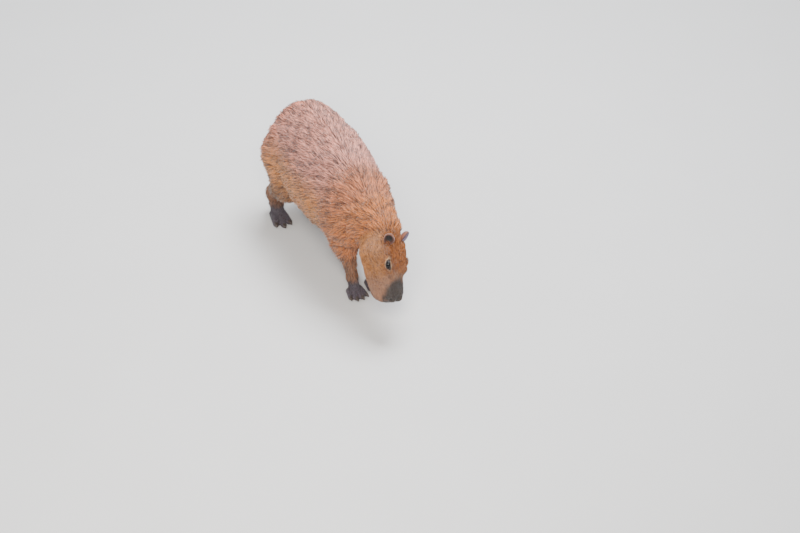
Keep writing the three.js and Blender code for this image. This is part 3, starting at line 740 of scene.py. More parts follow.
def waves(p, length, seed):
    """A smooth, uneven value from -1 to 1 over space, its bumps about so many millimetres long."""
    draw = np.random.default_rng(seed)
    total = np.zeros(len(p))
    for _ in range(WAVES):
        direction = draw.normal(size=3)
        direction /= np.linalg.norm(direction)
        size = length * draw.uniform(0.7, 1.5)
        total += np.sin(p @ direction * 2 * math.pi / size + draw.uniform(0, 6.28))
    return total / EVENED


def head_mask(p, h, start, over, clear=12):
    """How much a point belongs to the head, from a place along it on."""
    return eased(h[:, 0], start, over) * (p[:, 0] > HEAD_FROM) * (head_shape(h) < clear)


def low_mask(p, height, over, behind=HIND_TO):
    """How much a point belongs to the legs or feet, below a height."""
    return eased(p[:, 2], height, -over) * (p[:, 0] < behind)


head_share = head_mask(skin_points, head_points, -10, 30)
leg_share = low_mask(skin_points, 175, 60)
print("points of the head", int((head_share > 0.5).sum()), "and of the legs", int((leg_share > 0.5).sum()))

# %% Colours of the skin
MIDDLE, HALF = 288, 160  # height of the trunk's middle, and half its own height


def markings_at(p, h):
    """The coat's colour at points of the body's frame and of the head's frame."""
    x = p[:, 0]
    level = (p[:, 2] - MIDDLE) / HALF + waves(p, 90, 3) * 0.06
    color = painted(
        np.tile(COLOURS["flank"], (len(p), 1)),
        ("belly", eased(level, -0.2, -0.5)),
        # painted sheen on the upper body, more of it higher up
        ("back", eased(level, 0.05, 0.6)),
        ("rump", eased(x, -180, -110) * eased(level, -0.45, 0.5)),
        ("shoulder", eased(x, 90, 110) * 0.8),
        ("neck", eased(x, 215, 60)),
        ("leg", low_mask(p, 172, 60)),
        ("foot", low_mask(p, 74, 34)),
    )
    u, v, w = h.T
    ragged = waves(h, 26, 8) * 5
    face = painted(
        np.tile(COLOURS["cheek"], (len(p), 1)),
        ("forehead", eased(w + ragged, 6, 26) * eased(u, 168, -40)),
        ("muzzle", eased(u + ragged, 132, 44) * 0.9),
        ("nose", eased(w + 0.6 * (u - 138) + ragged, 34, 22) * eased(u, 112, 40)),
        ("nose", eased(u + ragged * 0.5, 226, 10) * eased(w, -26, 12) * 0.9),
    )
    return color + (face - color) * head_mask(p, h, -12, 40)[:, None]


ring_mask = marks["eye"] * on_face
skin_colours = painted(
    markings_at(skin_points, head_points),
    ("eye_ring", eased(ring_mask, 0, 0.3) * 0.6),
    # dark rim round the eye: the lids' dark skin and painted shade from the lids
    ("lid", eased(ring_mask, 0.5, 0.2)),
    # painted shade in the nostril pits
    ("hollow", eased(marks["nostril"], 0.25, 0.4) * on_face),
    ("lid", eased(marks["lip"], 0.35, 0.4) * on_face * 0.9),
)
print("mean colour of the skin in linear light", skin_colours.mean(0).round(3))

# %% The way the hair lies
DOWN_LEG, OVER_FOOT = np.array([-0.3, 0, -1.0]), np.array([0.9, 0, -0.5])
UNEVEN = 0.16  # how much the lie wanders


def turned_into(lie, other, share):
    """A lie turned into another by a share at each point."""
    return lie * (1 - share[:, None]) + other * share[:, None]


def lie_at(p, h):
    """The way the hair lies: back and down on the body, down the legs, back over the head."""
    around = np.arctan2(p[:, 1], p[:, 2] - 290)
    down = np.minimum(np.abs(around) / (math.pi / 2), 1)
    lie = np.stack([-np.ones(len(p)), np.sign(p[:, 1]) * 0.22 * (1 - down), -0.75 * down], 1)
    lie[:, 2] -= 0.3 * eased(p[:, 0], -230, -110)
    lie = turned_into(lie, DOWN_LEG, low_mask(p, 185, 60))
    lie = turned_into(lie, OVER_FOOT, low_mask(p, 58, 26, FORE_TO))
    over_head = np.stack([-np.ones(len(h)), 0.25 * np.sign(h[:, 1]), -0.15 * np.ones(len(h))], 1)
    lie = turned_into(lie, over_head @ HEAD_AXES.T, head_mask(p, h, -24, 60))
    lie += UNEVEN * np.stack([waves(p, 46, seed) for seed in (11, 12, 13)], 1)
    return lie / np.linalg.norm(lie, axis=1)[:, None]


def streaks_at(p, lie, across, reach, seed):
    """Uneven values smeared along the lie: long thin streaks, from about -1 to 1."""
    smeared = sum(waves(p + lie * step, across, seed) for step in np.linspace(-reach, reach, 9))
    return np.clip(smeared / smeared.std() / 2, -1.2, 1.2)


skin_lie = lie_at(skin_points, head_points)
fine, broad = streaks_at(skin_points, skin_lie, 13, 26, 31), streaks_at(skin_points, skin_lie, 24, 45, 32)
streak = fine * 0.6 + broad * 0.4
print("streaks from", streak.min().round(2), "to", streak.max().round(2))

# %% Length, width and density of the hair
BODY_HAIR, RUMP_MORE, CHEST_LESS = 0.046, 0.008, 0.010
LEG_HAIR, FOOT_HAIR, HEAD_HAIR, MUZZLE_LESS = 0.022, 0.008, 0.019, 0.0135
BODY_WIDE, LEG_WIDE, HEAD_WIDE, MUZZLE_FINER = 0.0033, 0.0021, 0.0019, 0.0007
BODY_TUFTS, LEG_TUFTS, HEAD_TUFTS = 84000, 100000, 200000  # on each square metre
RISE, LEAST_RISE, MOST_RISE = 0.12, 0.0006, 0.0095  # the first is a share of the length


def towards(values, goal, share):
    """Values moved towards a goal by a share."""
    return values + (goal - values) * share


x, z = skin_points[:, 0], skin_points[:, 2]
on_muzzle = eased(u, 60, 140)
fur_length = BODY_HAIR + RUMP_MORE * eased(x, -200, -100) - CHEST_LESS * eased(x, 150, 120)
fur_length = towards(fur_length, LEG_HAIR, leg_share)
fur_length = towards(fur_length, FOOT_HAIR, low_mask(skin_points, 66, 26, FORE_TO))
fur_length = towards(fur_length, HEAD_HAIR - MUZZLE_LESS * on_muzzle, head_share)
fur_length = fur_length * (1 - 0.62 * eased(ring_mask, 0, 0.25))
fur_width = towards(BODY_WIDE, LEG_WIDE, leg_share)
fur_width = towards(fur_width, HEAD_WIDE - MUZZLE_FINER * on_muzzle, head_share)
fur_rise = fur_length * RISE * (1 + 0.4 * waves(skin_points, 34, 21) + 0.45 * streak)
fur_rise = np.clip(fur_rise, LEAST_RISE, MOST_RISE)
bare = [
    eased(marks["nostril"], 0.02, 0.05) * on_face,
    eased(marks["lip"], 0.25, 0.3) * on_face,
    eased(ring_mask, 0.42, 0.12),
    eased(z, 19, -6),
    0.85 * eased(u, 228, 8) * eased(w, -20, 8) * on_face,
]
for side in (RIGHT, LEFT):
    cup = mirrored(EAR_AT, side) + mirrored(EAR_ALONG, side) * EAR_MIDDLE
    bare.append((1 - eased(np.linalg.norm(head_points - cup, axis=1), 20, 3)) * head_share)
fur_density = BODY_TUFTS + (LEG_TUFTS - BODY_TUFTS) * leg_share + (HEAD_TUFTS - BODY_TUFTS) * head_share
fur_density = fur_density * (1 - np.max(bare, axis=0))
print("hair lengths in mm", (np.percentile(fur_length, (0, 50, 100)) * 1000).round(1))


# %% Keep the values on the skin
def set_point_values(mesh, name, kind, values):
    """Keeps values on a mesh's points under a name, for trees and materials to read."""
    layer = mesh.attributes.new(name, kind, "POINT")
    field = {"FLOAT": "value", "FLOAT_VECTOR": "vector", "FLOAT_COLOR": "color"}[kind]
    layer.data.foreach_set(field, np.asarray(values, np.float32).ravel())


def with_alpha(colors):
    """Colours with a fourth value of one."""
    return np.concatenate([colors, np.ones((len(colors), 1))], 1)


# Light streaks are the hair's uneven tone; the stronger dark ones are painted shade in the gaps between
# clumps.
LIGHTER, GAP_SHADE = 0.16, 0.85  # how strongly a streak lightens or darkens the coat
tone_and_gap_shade = np.where(streak > 0, LIGHTER, GAP_SHADE) * streak * (1 - 0.72 * head_share) * (1 - 0.6 * leg_share)
skin_colours = np.clip(skin_colours * (1 + tone_and_gap_shade)[:, None], 0, 1)
set_point_values(skin_mesh, "markings", "FLOAT_COLOR", with_alpha(skin_colours))
set_point_values(skin_mesh, "lie", "FLOAT_VECTOR", skin_lie)
hair = dict(fur_length=fur_length, fur_width=fur_width, fur_rise=fur_rise, fur_density=fur_density)
for name, values in hair.items():
    set_point_values(skin_mesh, name, "FLOAT", values)
print("kept on the skin", [layer.name for layer in skin_mesh.attributes if layer.domain == "POINT"])

# %% [markdown]
# ## The tufts
# A capybara's bristles are long, thin and sparse, and clump into narrow locks when they are wet or dusty.
# Hair curves would be true to life, but the finished model is to be a mesh, so each tuft is a thin closed
# lock of sixteen faces. A Geometry Nodes tree scatters points over one region of the skin, turns a lock
# along the lie at each of them, and makes one mesh of them all.

# %% Four locks with a little curl
TUFT_RINGS = ((0.0, 0.55, -0.55), (0.34, 1.0, 0.55), (0.72, 0.7, 1.0))  # along, width and height as shares
TUFT_SECTION = ((0.5, 0.0), (0.0, 0.34), (-0.5, 0.0))
TUFT_KINDS = ((0.0, 0.0), (0.9, -0.25), (-0.9, -0.1), (0.4, 0.3))  # curl and drop


def bands(rings, around, first=0):
    """The four-cornered faces between rings of points, one ring after another."""
    faces = []
    for r in range(rings - 1):
        for k in range(around):
            a, b = first + r * around + k, first + r * around + (k + 1) % around
            faces.append((a, b, b + around, a + around))
    return faces


def shell(name, points, faces, look=None):
    """A closed mesh object with its faces turned outwards."""
    made = mesh_object(name, points, faces, look)
    bm = bmesh.new()
    bm.from_mesh(made.data)
    bmesh.ops.recalc_face_normals(bm, faces=bm.faces)
    bm.to_mesh(made.data)
    bm.free()
    return made


def tuft(name, curl, drop):
    """A lock of unit length that curls sideways and drops towards its tip."""
    spots, patch = [], []
    for s, wide, high in TUFT_RINGS:
        for turn, (across, over) in enumerate(TUFT_SECTION):
            spots.append((s, across * wide + curl * s * s, high + drop * s * s + over * wide))
            patch.append((s, turn / 2, 0))
    spots.append((1.0, curl * 1.05, 0.75 + drop))
    patch.append((1.0, 0.5, 0))
    corners = [(0, 2, 1)]
    for a, b, c, d in bands(3, 3):
        corners += [(a, b, c), (a, c, d)]
    corners += [(6 + k, 6 + (k + 1) % 3, 9) for k in range(3)]
    lock = shell(name, spots, corners)
    set_point_values(lock.data, "patch", "FLOAT_VECTOR", patch)
    return lock


tufts = bpy.data.collections.new("tufts")
bpy.context.scene.collection.children.link(tufts)
for kind, (curl, drop) in enumerate(TUFT_KINDS):
    lock = tuft(f"tuft_{kind}", curl, drop)
    bpy.context.scene.collection.objects.unlink(lock)
    tufts.objects.link(lock)
print("a lock has", len(lock.data.polygons), "faces")


# %% Short names for common nodes
def named(tree, name, kind="FLOAT"):
    """The values kept on the mesh under a name."""
    node = new_node(tree, "GeometryNodeInputNamedAttribute", {"data_type": kind}, Name=name)
    return next(s for s in node.outputs if s.enabled and s.name == "Attribute")


def random_value(tree, low, high, seed, kind="FLOAT"):
    """A random value for each point."""
    node = new_node(tree, "FunctionNodeRandomValue", {"data_type": kind}, Min=low, Max=high, Seed=seed)
    return next(s for s in node.outputs if s.enabled)


def reckoned(tree, kind, operation, a, b):
    """A sum or product of two links."""
    node = new_node(tree, kind, {"operation": operation})
    tree.links.new(a, node.inputs[0])
    tree.links.new(b, node.inputs[1])
    return node.outputs[0]


def product(tree, a, b):
    """The product of two numbers."""
    return reckoned(tree, "ShaderNodeMath", "MULTIPLY", a, b)


def vector_sum(tree, a, b):
    """The sum of two vectors."""
    return reckoned(tree, "ShaderNodeVectorMath", "ADD", a, b)


def scaled(tree, vector, by):
    """A vector times a number."""
    return new_node(tree, "ShaderNodeVectorMath", {"operation": "SCALE"}, Vector=vector, Scale=by).outputs[0]


def stored(tree, geometry, name, value, kind, domain):
    """Geometry with values kept on it under a name."""
    how = {"data_type": kind, "domain": domain}
    node = new_node(tree, "GeometryNodeStoreNamedAttribute", how, Geometry=geometry, Name=name, Value=value)
    return node.outputs[0]


COAT_INPUTS = dict(
    Region="Int", Density="Float", Length="Float", Stray="Float", Seed="Int", Material="Material",
)
coat_tree = t = bpy.data.node_groups.new("coat", "GeometryNodeTree")
t.interface.new_socket("Geometry", in_out="INPUT", socket_type="NodeSocketGeometry")
sockets = {}
for name, kind in COAT_INPUTS.items():
    socket = t.interface.new_socket(name, in_out="INPUT", socket_type=f"NodeSocket{kind}")
    sockets[name] = socket.identifier
t.interface.new_socket("Geometry", in_out="OUTPUT", socket_type="NodeSocketGeometry")
given = t.nodes.new("NodeGroupInput").outputs
print("inputs of the coat tree", sockets)

# %% Roots of the tufts
SEEDS = dict(length=1, width=2, rise=3, kind=4, shade=5, stray=9)
same = new_node(
    t, "FunctionNodeCompare", {"data_type": "INT", "operation": "EQUAL"},
    A=named(t, "region", "INT"), B=given["Region"],
)
scatter = new_node(
    t, "GeometryNodeDistributePointsOnFaces", {"distribute_method": "RANDOM"},
    Mesh=given["Geometry"], Selection=same.outputs[0],
    Density=product(t, named(t, "fur_density"), given["Density"]), Seed=given["Seed"],
)
shade = random_value(t, 0.0, 1.0, SEEDS["shade"])
roots = stored(t, scatter.outputs["Points"], "shade", shade, "FLOAT", "POINT")
stray = random_value(t, (-1, -1, -1), (1, 1, 1), SEEDS["stray"], "FLOAT_VECTOR")
heading = vector_sum(t, named(t, "lie", "FLOAT_VECTOR"), scaled(t, stray, given["Stray"]))
turn = new_node(
    t, "FunctionNodeAxesToRotation", {"primary_axis": "Z", "secondary_axis": "X"},
    Primary_Axis=scatter.outputs["Normal"], Secondary_Axis=heading,
)
print("a tuft's thickness points along", turn.primary_axis, "and its length along", turn.secondary_axis)

# %% A lock on each root
PATCH = 0.003  # width of a tuft's own patch on the unwrap
length = product(t, named(t, "fur_length"), given["Length"])
size = new_node(
    t, "ShaderNodeCombineXYZ", None,
    X=product(t, length, random_value(t, 0.7, 1.2, SEEDS["length"])),
    Y=product(t, named(t, "fur_width"), random_value(t, 0.7, 1.25, SEEDS["width"])),
    Z=product(t, named(t, "fur_rise"), random_value(t, 0.6, 1.3, SEEDS["rise"])),
)
stock = new_node(
    t, "GeometryNodeCollectionInfo", None, Collection=tufts, Separate_Children=True, Reset_Children=True,
)
placed = new_node(
    t, "GeometryNodeInstanceOnPoints", None,
    Points=roots, Instance=stock.outputs[0], Pick_Instance=True,
    Instance_Index=random_value(t, 0, len(TUFT_KINDS) - 1, SEEDS["kind"], "INT"),
    Rotation=turn.outputs[0], Scale=size.outputs[0],
)
real = new_node(t, "GeometryNodeRealizeInstances", None, Geometry=placed.outputs[0])
on_patch = scaled(t, named(t, "patch", "FLOAT_VECTOR"), PATCH)
spot = vector_sum(t, named(t, "root_place", "FLOAT_VECTOR"), on_patch)
mapped = stored(t, real.outputs[0], "OFBake", spot, "FLOAT2", "CORNER")
dressed = new_node(t, "GeometryNodeSetMaterial", None, Geometry=mapped, Material=given["Material"])
t.links.new(dressed.outputs[0], t.nodes.new("NodeGroupOutput").inputs[0])
print("coat tree", len(t.nodes), "nodes")

# %% [markdown]
# ## Fur colour and relief
# Skin and tufts share the markings, so one shader group makes the colour from them: each lock is a little
# lighter or darker than the next, darker at its root, and broken into bristles by fine streaks along its
# length.


# %% The fur group
def ranged(tree, value, low, high, to_low, to_high):
    """A value moved from one range to another."""
    ends = dict(From_Min=low, From_Max=high, To_Min=to_low, To_Max=to_high)
    return new_node(tree, "ShaderNodeMapRange", None, Value=value, **ends).outputs[0]


FUR_INPUTS = dict(Markings="Color", Place="Vector", Strands="Vector", Shade="Float", Along="Float")
FUR_OUTPUTS = dict(Color="Color", Height="Float", Roughness="Float")
fur = bpy.data.node_groups.new("fur_colour", "ShaderNodeTree")
for way, ends in (("INPUT", FUR_INPUTS), ("OUTPUT", FUR_OUTPUTS)):
    for name, kind in ends.items():
        fur.interface.new_socket(name, in_out=way, socket_type=f"NodeSocket{kind}")
into = fur.nodes.new("NodeGroupInput").outputs
dust = new_node(fur, "ShaderNodeTexNoise", None, Vector=into["Place"], Scale=38.0, Detail=4.0)
bristle = new_node(fur, "ShaderNodeTexNoise", None, Vector=into["Strands"], Scale=1.0, Detail=2.0)
by_dust = ranged(fur, dust.outputs["Fac"], 0.3, 0.7, 0.84, 1.14)
by_bristle = ranged(fur, bristle.outputs["Fac"], 0.3, 0.7, 0.72, 1.2)
by_shade = ranged(fur, into["Shade"], 0.1, 0.5, 0.3, 1.22)
by_root = ranged(fur, into["Along"], 0.0, 0.6, 0.6, 1.08)
gain = product(fur, product(fur, by_dust, by_bristle), product(fur, by_shade, by_root))
fur_out = fur.nodes.new("NodeGroupOutput").inputs
fur.links.new(scaled(fur, into["Markings"], gain), fur_out["Color"])
fur.links.new(bristle.outputs["Fac"], fur_out["Height"])
fur.links.new(ranged(fur, bristle.outputs["Fac"], 0.3, 0.7, 0.5, 0.72), fur_out["Roughness"])
print("fur group", len(fur.nodes), "nodes")


# %% Coat and skin materials
def read(tree, name, output):
    """An attribute of the piece in a material."""
    node = tree.nodes.new("ShaderNodeAttribute")
    node.attribute_name = name
    return node.outputs[output]


def bumped(tree, shader, height, strength, distance):
    """Gives a material its relief."""
    bump = new_node(tree, "ShaderNodeBump", None, Height=height, Strength=strength, Distance=distance)
    tree.links.new(bump.outputs[0], shader.inputs["Normal"])


def furred(tree, shader, strength, distance, **values):
    """Gives a material the fur's colour, roughness and relief."""
    markings = read(tree, "markings", "Color")
    own = new_node(
        tree, "ShaderNodeGroup", {"node_tree": fur}, Markings=markings, Place=place_in(tree), **values,
    )
    tree.links.new(own.outputs["Color"], shader.inputs["Base Color"])
    tree.links.new(own.outputs["Roughness"], shader.inputs["Roughness"])
    bumped(tree, shader, own.outputs["Height"], strength, distance)


coat_look, coat_nodes, coat_shader = material(
    "coarse_bristles", Roughness=0.6, Sheen_Weight=0.25, Sheen_Roughness=0.4, Specular_IOR_Level=0.55,
)
patch, own_shade = read(coat_nodes, "patch", "Vector"), read(coat_nodes, "shade", "Fac")
strands = new_node(coat_nodes, "ShaderNodeMapping", None, Vector=patch, Scale=(2.5, 9.0, 1.0))
apart = new_node(coat_nodes, "ShaderNodeCombineXYZ", None, Z=own_shade)
furred(
    coat_nodes, coat_shader, strength=0.5, distance=0.0006, Shade=own_shade,
    Strands=vector_sum(coat_nodes, strands.outputs[0], apart.outputs[0]),
    Along=new_node(coat_nodes, "ShaderNodeSeparateXYZ", None, Vector=patch).outputs[0],
)
HEAD_TURN = Matrix(HEAD_AXES.T.tolist()).to_euler()
STREAKS = (90, 420, 420)  # long along the head, thin across it
streaks = place_in(skin_tree, STREAKS, tuple(HEAD_TURN))
furred(skin_tree, skin_shader, strength=0.55, distance=0.0008, Strands=streaks, Shade=0.36, Along=0.5)
print("materials", coat_look.name, skin_look.name)

# %% [markdown]
# ## Growing the coat
# A single mesh of all tufts would be too heavy to open or to edit, so the coat is grown region by region,
# each below two hundred thousand triangles. The regions only share out the tufts, and their edges don't
# show.

# %% Regions
BANDS = ("rump", "haunch", "loin", "ribs", "chest", "shoulder", "neck")
REGIONS = (*BANDS, "head", "muzzle", "forelegs", "hindlegs")
BAND_ENDS = (-265, -170, -75, 20, 115, 232)  # x where one band ends and the next begins
HEAD_STARTS, HEAD_CLEAR = 4, 10
MUZZLE_FROM = 112
LEG_TOP, LEG_FRONT = 155, 295
middles = np.zeros(len(skin_mesh.polygons) * 3)
skin_mesh.polygons.foreach_get("center", middles)
middles = (middles.reshape(-1, 3) - SHIFT) / MM
head_middles = to_head(middles)
region = np.digitize(middles[:, 0], BAND_ENDS)
is_head = (head_middles[:, 0] > HEAD_STARTS) & (middles[:, 0] > HEAD_FROM)
is_head &= head_shape(head_middles) < HEAD_CLEAR
is_leg = (middles[:, 2] < LEG_TOP) & (middles[:, 0] < LEG_FRONT) & ~is_head
for wanted, split, (behind, ahead) in (
    (is_head, head_middles[:, 0] < MUZZLE_FROM, ("head", "muzzle")),
    (is_leg, middles[:, 0] > 0, ("forelegs", "hindlegs")),
):
    region[wanted] = np.where(split[wanted], REGIONS.index(behind), REGIONS.index(ahead))
layer = skin_mesh.attributes.new("region", "INT", "FACE")
layer.data.foreach_set("value", region.astype(np.int32))
unwrap = np.zeros((len(skin_mesh.loops), 3))
flat = np.zeros(len(skin_mesh.loops) * 2)
skin_mesh.uv_layers["OFBake"].data.foreach_get("uv", flat)
unwrap[:, :2] = flat.reshape(-1, 2)
layer = skin_mesh.attributes.new("root_place", "FLOAT_VECTOR", "CORNER")
layer.data.foreach_set("vector", unwrap.ravel())
print("faces in each region", dict(zip(REGIONS, np.bincount(region).tolist())))

# %% Grow them
STRAY = 0.16  # how far a tuft may turn from the lie
FIRST_SEED = 30
SPARE = ("lie", *hair, "region", "root_place")  # what the finished coat no longer needs


def grown(name, source, **inputs):
    """The tufts of one region of a piece as a plain mesh object."""
    carrier = bpy.data.objects.new("carrier", source.copy())
    bpy.context.scene.collection.objects.link(carrier)
    tool = carrier.modifiers.new("coat", "NODES")
    tool.node_group = coat_tree
    for key, value in inputs.items():
        tool[sockets[key]] = value
    graph = bpy.context.evaluated_depsgraph_get()
    data = bpy.data.meshes.new_from_object(carrier.evaluated_get(graph), depsgraph=graph)
    bpy.data.objects.remove(carrier)
    data.name = name
    for spare in SPARE:
        if spare in data.attributes:
            data.attributes.remove(data.attributes[spare])
    made = bpy.data.objects.new(name, data)
    bpy.context.scene.collection.objects.link(made)
    print(name, len(data.polygons), "faces", [layer.name for layer in data.uv_layers])
    return made


plain = dict(Density=1.0, Length=1.0, Stray=STRAY, Material=coat_look)
coat = [grown(f"coat_{n}", skin_mesh, Region=i, Seed=FIRST_SEED + i, **plain) for i, n in enumerate(REGIONS)]

# %% [markdown]
# ## Eyes
# The eye is large, dark and set high on the side. It is a ball behind the lids: a brown iris round a wide
# pupil, under a clear wet layer that gives the highlight.

# %% The look of an eye
IRIS = ((0.0, (4, 3, 3)), (0.3, (5, 4, 3)), (0.36, (58, 34, 20)), (0.62, (44, 26, 16)), (0.72, (12, 8, 7)))
EYE_BACK = (30, 22, 20)
eye_look, eye_tree, eye_shader = material(
    "wet_eye", Roughness=0.12, Specular_IOR_Level=0.1, Coat_IOR=1.33, Coat_Weight=0.8, Coat_Roughness=0.02,
)
stops = [(spot, linear(*color)) for spot, color in (*IRIS, (1.0, EYE_BACK))]
iris = ramped(eye_tree, read(eye_tree, "from_pupil", "Fac"), stops)
fibres = new_node(eye_tree, "ShaderNodeTexNoise", None, Vector=place_in(eye_tree), Scale=900.0, Detail=3.0)
flecks = ranged(eye_tree, fibres.outputs["Fac"], 0.3, 0.7, 0.6, 1.5)
eye_tree.links.new(scaled(eye_tree, iris, flecks), eye_shader.inputs["Base Color"])
print("iris stops", [spot for spot, _ in stops])

# %% Eyeballs
EYE_STEPS, EYE_RINGS = 48, 32
UNDER_LID = 1.4  # room between the lid and the eyeball


def eyeball(name, centre, radius, pole):
    """A ball with its pole towards a direction, which keeps how far each point is from the pupil."""
    side = np.cross(pole, (0.3, 0.9, 0.1))
    side /= np.linalg.norm(side)
    third = np.cross(pole, side)
    spots = [centre + pole * radius]
    for i in range(1, EYE_RINGS):
        a = math.pi * i / EYE_RINGS
        for k in range(EYE_STEPS):
            b = 2 * math.pi * k / EYE_STEPS
            across = math.cos(b) * side + math.sin(b) * third
            spots.append(centre + radius * (math.cos(a) * pole + math.sin(a) * across))
    spots.append(centre - pole * radius)
    corners = bands(EYE_RINGS - 1, EYE_STEPS, first=1)
    end = 1 + (EYE_RINGS - 2) * EYE_STEPS
    for k in range(EYE_STEPS):
        after = (k + 1) % EYE_STEPS
        corners += [(0, 1 + k, 1 + after), (end + k, len(spots) - 1, end + after)]
    made = shell(name, np.array(spots) * MM + SHIFT, corners, eye_look)
    from_pupil = [0] + [i / EYE_RINGS for i in range(1, EYE_RINGS) for _ in range(EYE_STEPS)] + [1]
    set_point_values(made.data, "from_pupil", "FLOAT", from_pupil)
    return made


eyes = []
for word, side in (("right", RIGHT), ("left", LEFT)):
    facing = HEAD_AXES @ eye_axes(side)[2]
    facing /= np.linalg.norm(facing)
    eyes.append(eyeball(f"eyeball_{word}", from_head(mirrored(EYE_AT, side)), LID_RADIUS - UNDER_LID, facing))
print("eyes at", [tuple(np.array(e.data.vertices[0].co).round(3)) for e in eyes])

# %% [markdown]
# ## Ears
# Small round cups of thin dark skin, open to the front and side, with a folded rim. Each is one closed
# sheet: the outer side, the rim and the hollow inner side, round a short root that goes into the head.

# %% The sizes and the look of an ear
EAR_OPENING = {RIGHT: np.array([0.44, -0.6, 0.26]), LEFT: np.array([0.5, 0.15, 0.6])}
EAR_HALF = (18.0, 20.0, 14.0)  # half its width, length and depth
EAR_WALL, EAR_LIFT, EAR_STEPS = 2.6, 1.4, 56
EAR_RIM_TURN, EAR_RISE = math.radians(101), 15  # how far round the cup goes, and in how many rings
OVER_RIM = ((0.06, 0.22, 0.52), (0.08, 0.5, 0.55), (0.06, 0.8, 0.58))
EAR_FOLD, EAR_POINT = 0.05, 0.06  # how much the rim waves, and how much its tip is drawn out
ROOT_RADIUS, ROOT_STEPS, ROOT_FLAT, ROOT_BACK = 9.5, 24, 0.9, 2
ROOT_LEVELS = ((-9, 1.25), (-4, 1.2), (0, 1.05), (3, 0.86))  # height and share of the radius
EAR_BACK = linear(112, 62, 40)
# painted light: the left ear's inside is a lit copy of the skin and the right ear's a shaded one, each
# darkening to painted shade deep in the cup
EAR_INSIDE_LIT_AND_SHADED = {  # near the rim and deep inside
    RIGHT: (linear(96, 58, 46), linear(24, 15, 14)),
    LEFT: (linear(168, 152, 176), linear(96, 84, 104)),
}
# the rims differ by side in the same way, as painted lit and shaded copies
EAR_RIM = {RIGHT: linear(78, 42, 28), LEFT: linear(34, 32, 44)}
ear_look, ear_tree, ear_shader = material("ear_skin", Roughness=0.55, Sheen_Weight=0.3)
ear_grain = place_in(ear_tree, scale=(260, 260, 260))
furred(ear_tree, ear_shader, strength=0.4, distance=0.0006, Strands=ear_grain, Shade=0.5, Along=0.5)
up_out = [(EAR_RIM_TURN * i / EAR_RISE, 0.0, i / EAR_RISE * 0.5) for i in range(1, EAR_RISE + 1)]
over_rim = [(EAR_RIM_TURN + more, inward, share) for more, inward, share in OVER_RIM]
down_in = [(EAR_RIM_TURN * i / EAR_RISE, 1.0, 1 - i / EAR_RISE * 0.4) for i in range(EAR_RISE - 1, 0, -1)]
EAR_RINGS = up_out + over_rim + down_in  # each has its turn, how far in it is and how far round the sheet
print("an ear has", len(EAR_RINGS), "rings")


# %% Ears
def ear_points():
    """The points of a cup and its root about the ear's axes, with how far in and how far round they are."""
    spots, tone = [], []
    for a, inward, share in EAR_RINGS:
        w, l, d = (half - EAR_WALL * inward for half in EAR_HALF)
        for k in range(EAR_STEPS):
            b = 2 * math.pi * k / EAR_STEPS
            waved = 1 + EAR_FOLD * math.cos(3 * b + 0.6) * math.sin(a) ** 2
            fold = waved + EAR_POINT * max(math.sin(b), 0) ** 3
            wide = w * math.sin(a) * math.cos(b) * fold
            long = l * math.sin(a) * math.sin(b) * fold + EAR_MIDDLE
            spots.append((wide, long, -d * math.cos(a) + EAR_LIFT * inward))
            tone.append((inward, share))
    spots += [(0, EAR_MIDDLE, -EAR_HALF[2]), (0, EAR_MIDDLE, -EAR_HALF[2] + EAR_WALL + EAR_LIFT)]
    tone += [(0, 0), (1, 1)]
    for height, share in ROOT_LEVELS:
        for k in range(ROOT_STEPS):
            b = 2 * math.pi * k / ROOT_STEPS
            radius = ROOT_RADIUS * share
            spots.append((radius * math.cos(b), height, radius * math.sin(b) * ROOT_FLAT - ROOT_BACK))
            tone.append((0, 0.1))
    return np.array(spots), np.array(tone)


def ear_faces():
    """The faces of the cup, closed at both its middles, and of the root, closed by flat ends."""
    corners = bands(len(EAR_RINGS), EAR_STEPS)
    end, first = (len(EAR_RINGS) - 1) * EAR_STEPS, len(EAR_RINGS) * EAR_STEPS
    for k in range(EAR_STEPS):
        after = (k + 1) % EAR_STEPS
        corners += [(first, after, k), (first + 1, end + k, end + after)]
    base, levels = first + 2, len(ROOT_LEVELS)
    corners += bands(levels, ROOT_STEPS, base)
    corners.append(tuple(base + k for k in range(ROOT_STEPS)))
    corners.append(tuple(base + (levels - 1) * ROOT_STEPS + k for k in reversed(range(ROOT_STEPS))))
    return corners


def ear(name, side):
    """A cup with a rim, and its root, with the colours of one side."""
    y = mirrored(EAR_ALONG, side) / np.linalg.norm(EAR_ALONG)
    x = np.cross(y, EAR_OPENING[side])
    x /= np.linalg.norm(x)
    spots, tone = ear_points()
    in_head = mirrored(EAR_AT, side) + spots @ np.stack([x, y, np.cross(x, y)], 1).T
    made = shell(name, from_head(in_head) * MM + SHIFT, ear_faces(), ear_look)
    inner, depth = eased(tone[:, 0], 0.6, 0.4)[:, None], eased(tone[:, 1], 0.6, 0.3)[:, None]
    rim = 0.75 * (eased(tone[:, 1], 0.47, 0.04) * (1 - eased(tone[:, 1], 0.6, 0.05)))[:, None]
    # painted shade: the inside darkens towards the bottom of the cup
    lit, deep = EAR_INSIDE_LIT_AND_SHADED[side]
    color = EAR_BACK * (1 - inner) + (lit * (1 - depth) + deep * depth) * inner
    color = color * (1 - rim) + EAR_RIM[side] * rim
    set_point_values(made.data, "markings", "FLOAT_COLOR", with_alpha(color))
    return made


ears = [ear("ear_cup_right", RIGHT), ear("ear_cup_left", LEFT)]
print("ears", [len(e.data.polygons) for e in ears], "faces")

# %% [markdown]
# ## Claws
# Each toe ends in a blunt claw like a small hoof, dark horn with a dull polish, worn paler at the tip. A
# claw is a row of rings along a line that hooks down a little, flatter below than above.

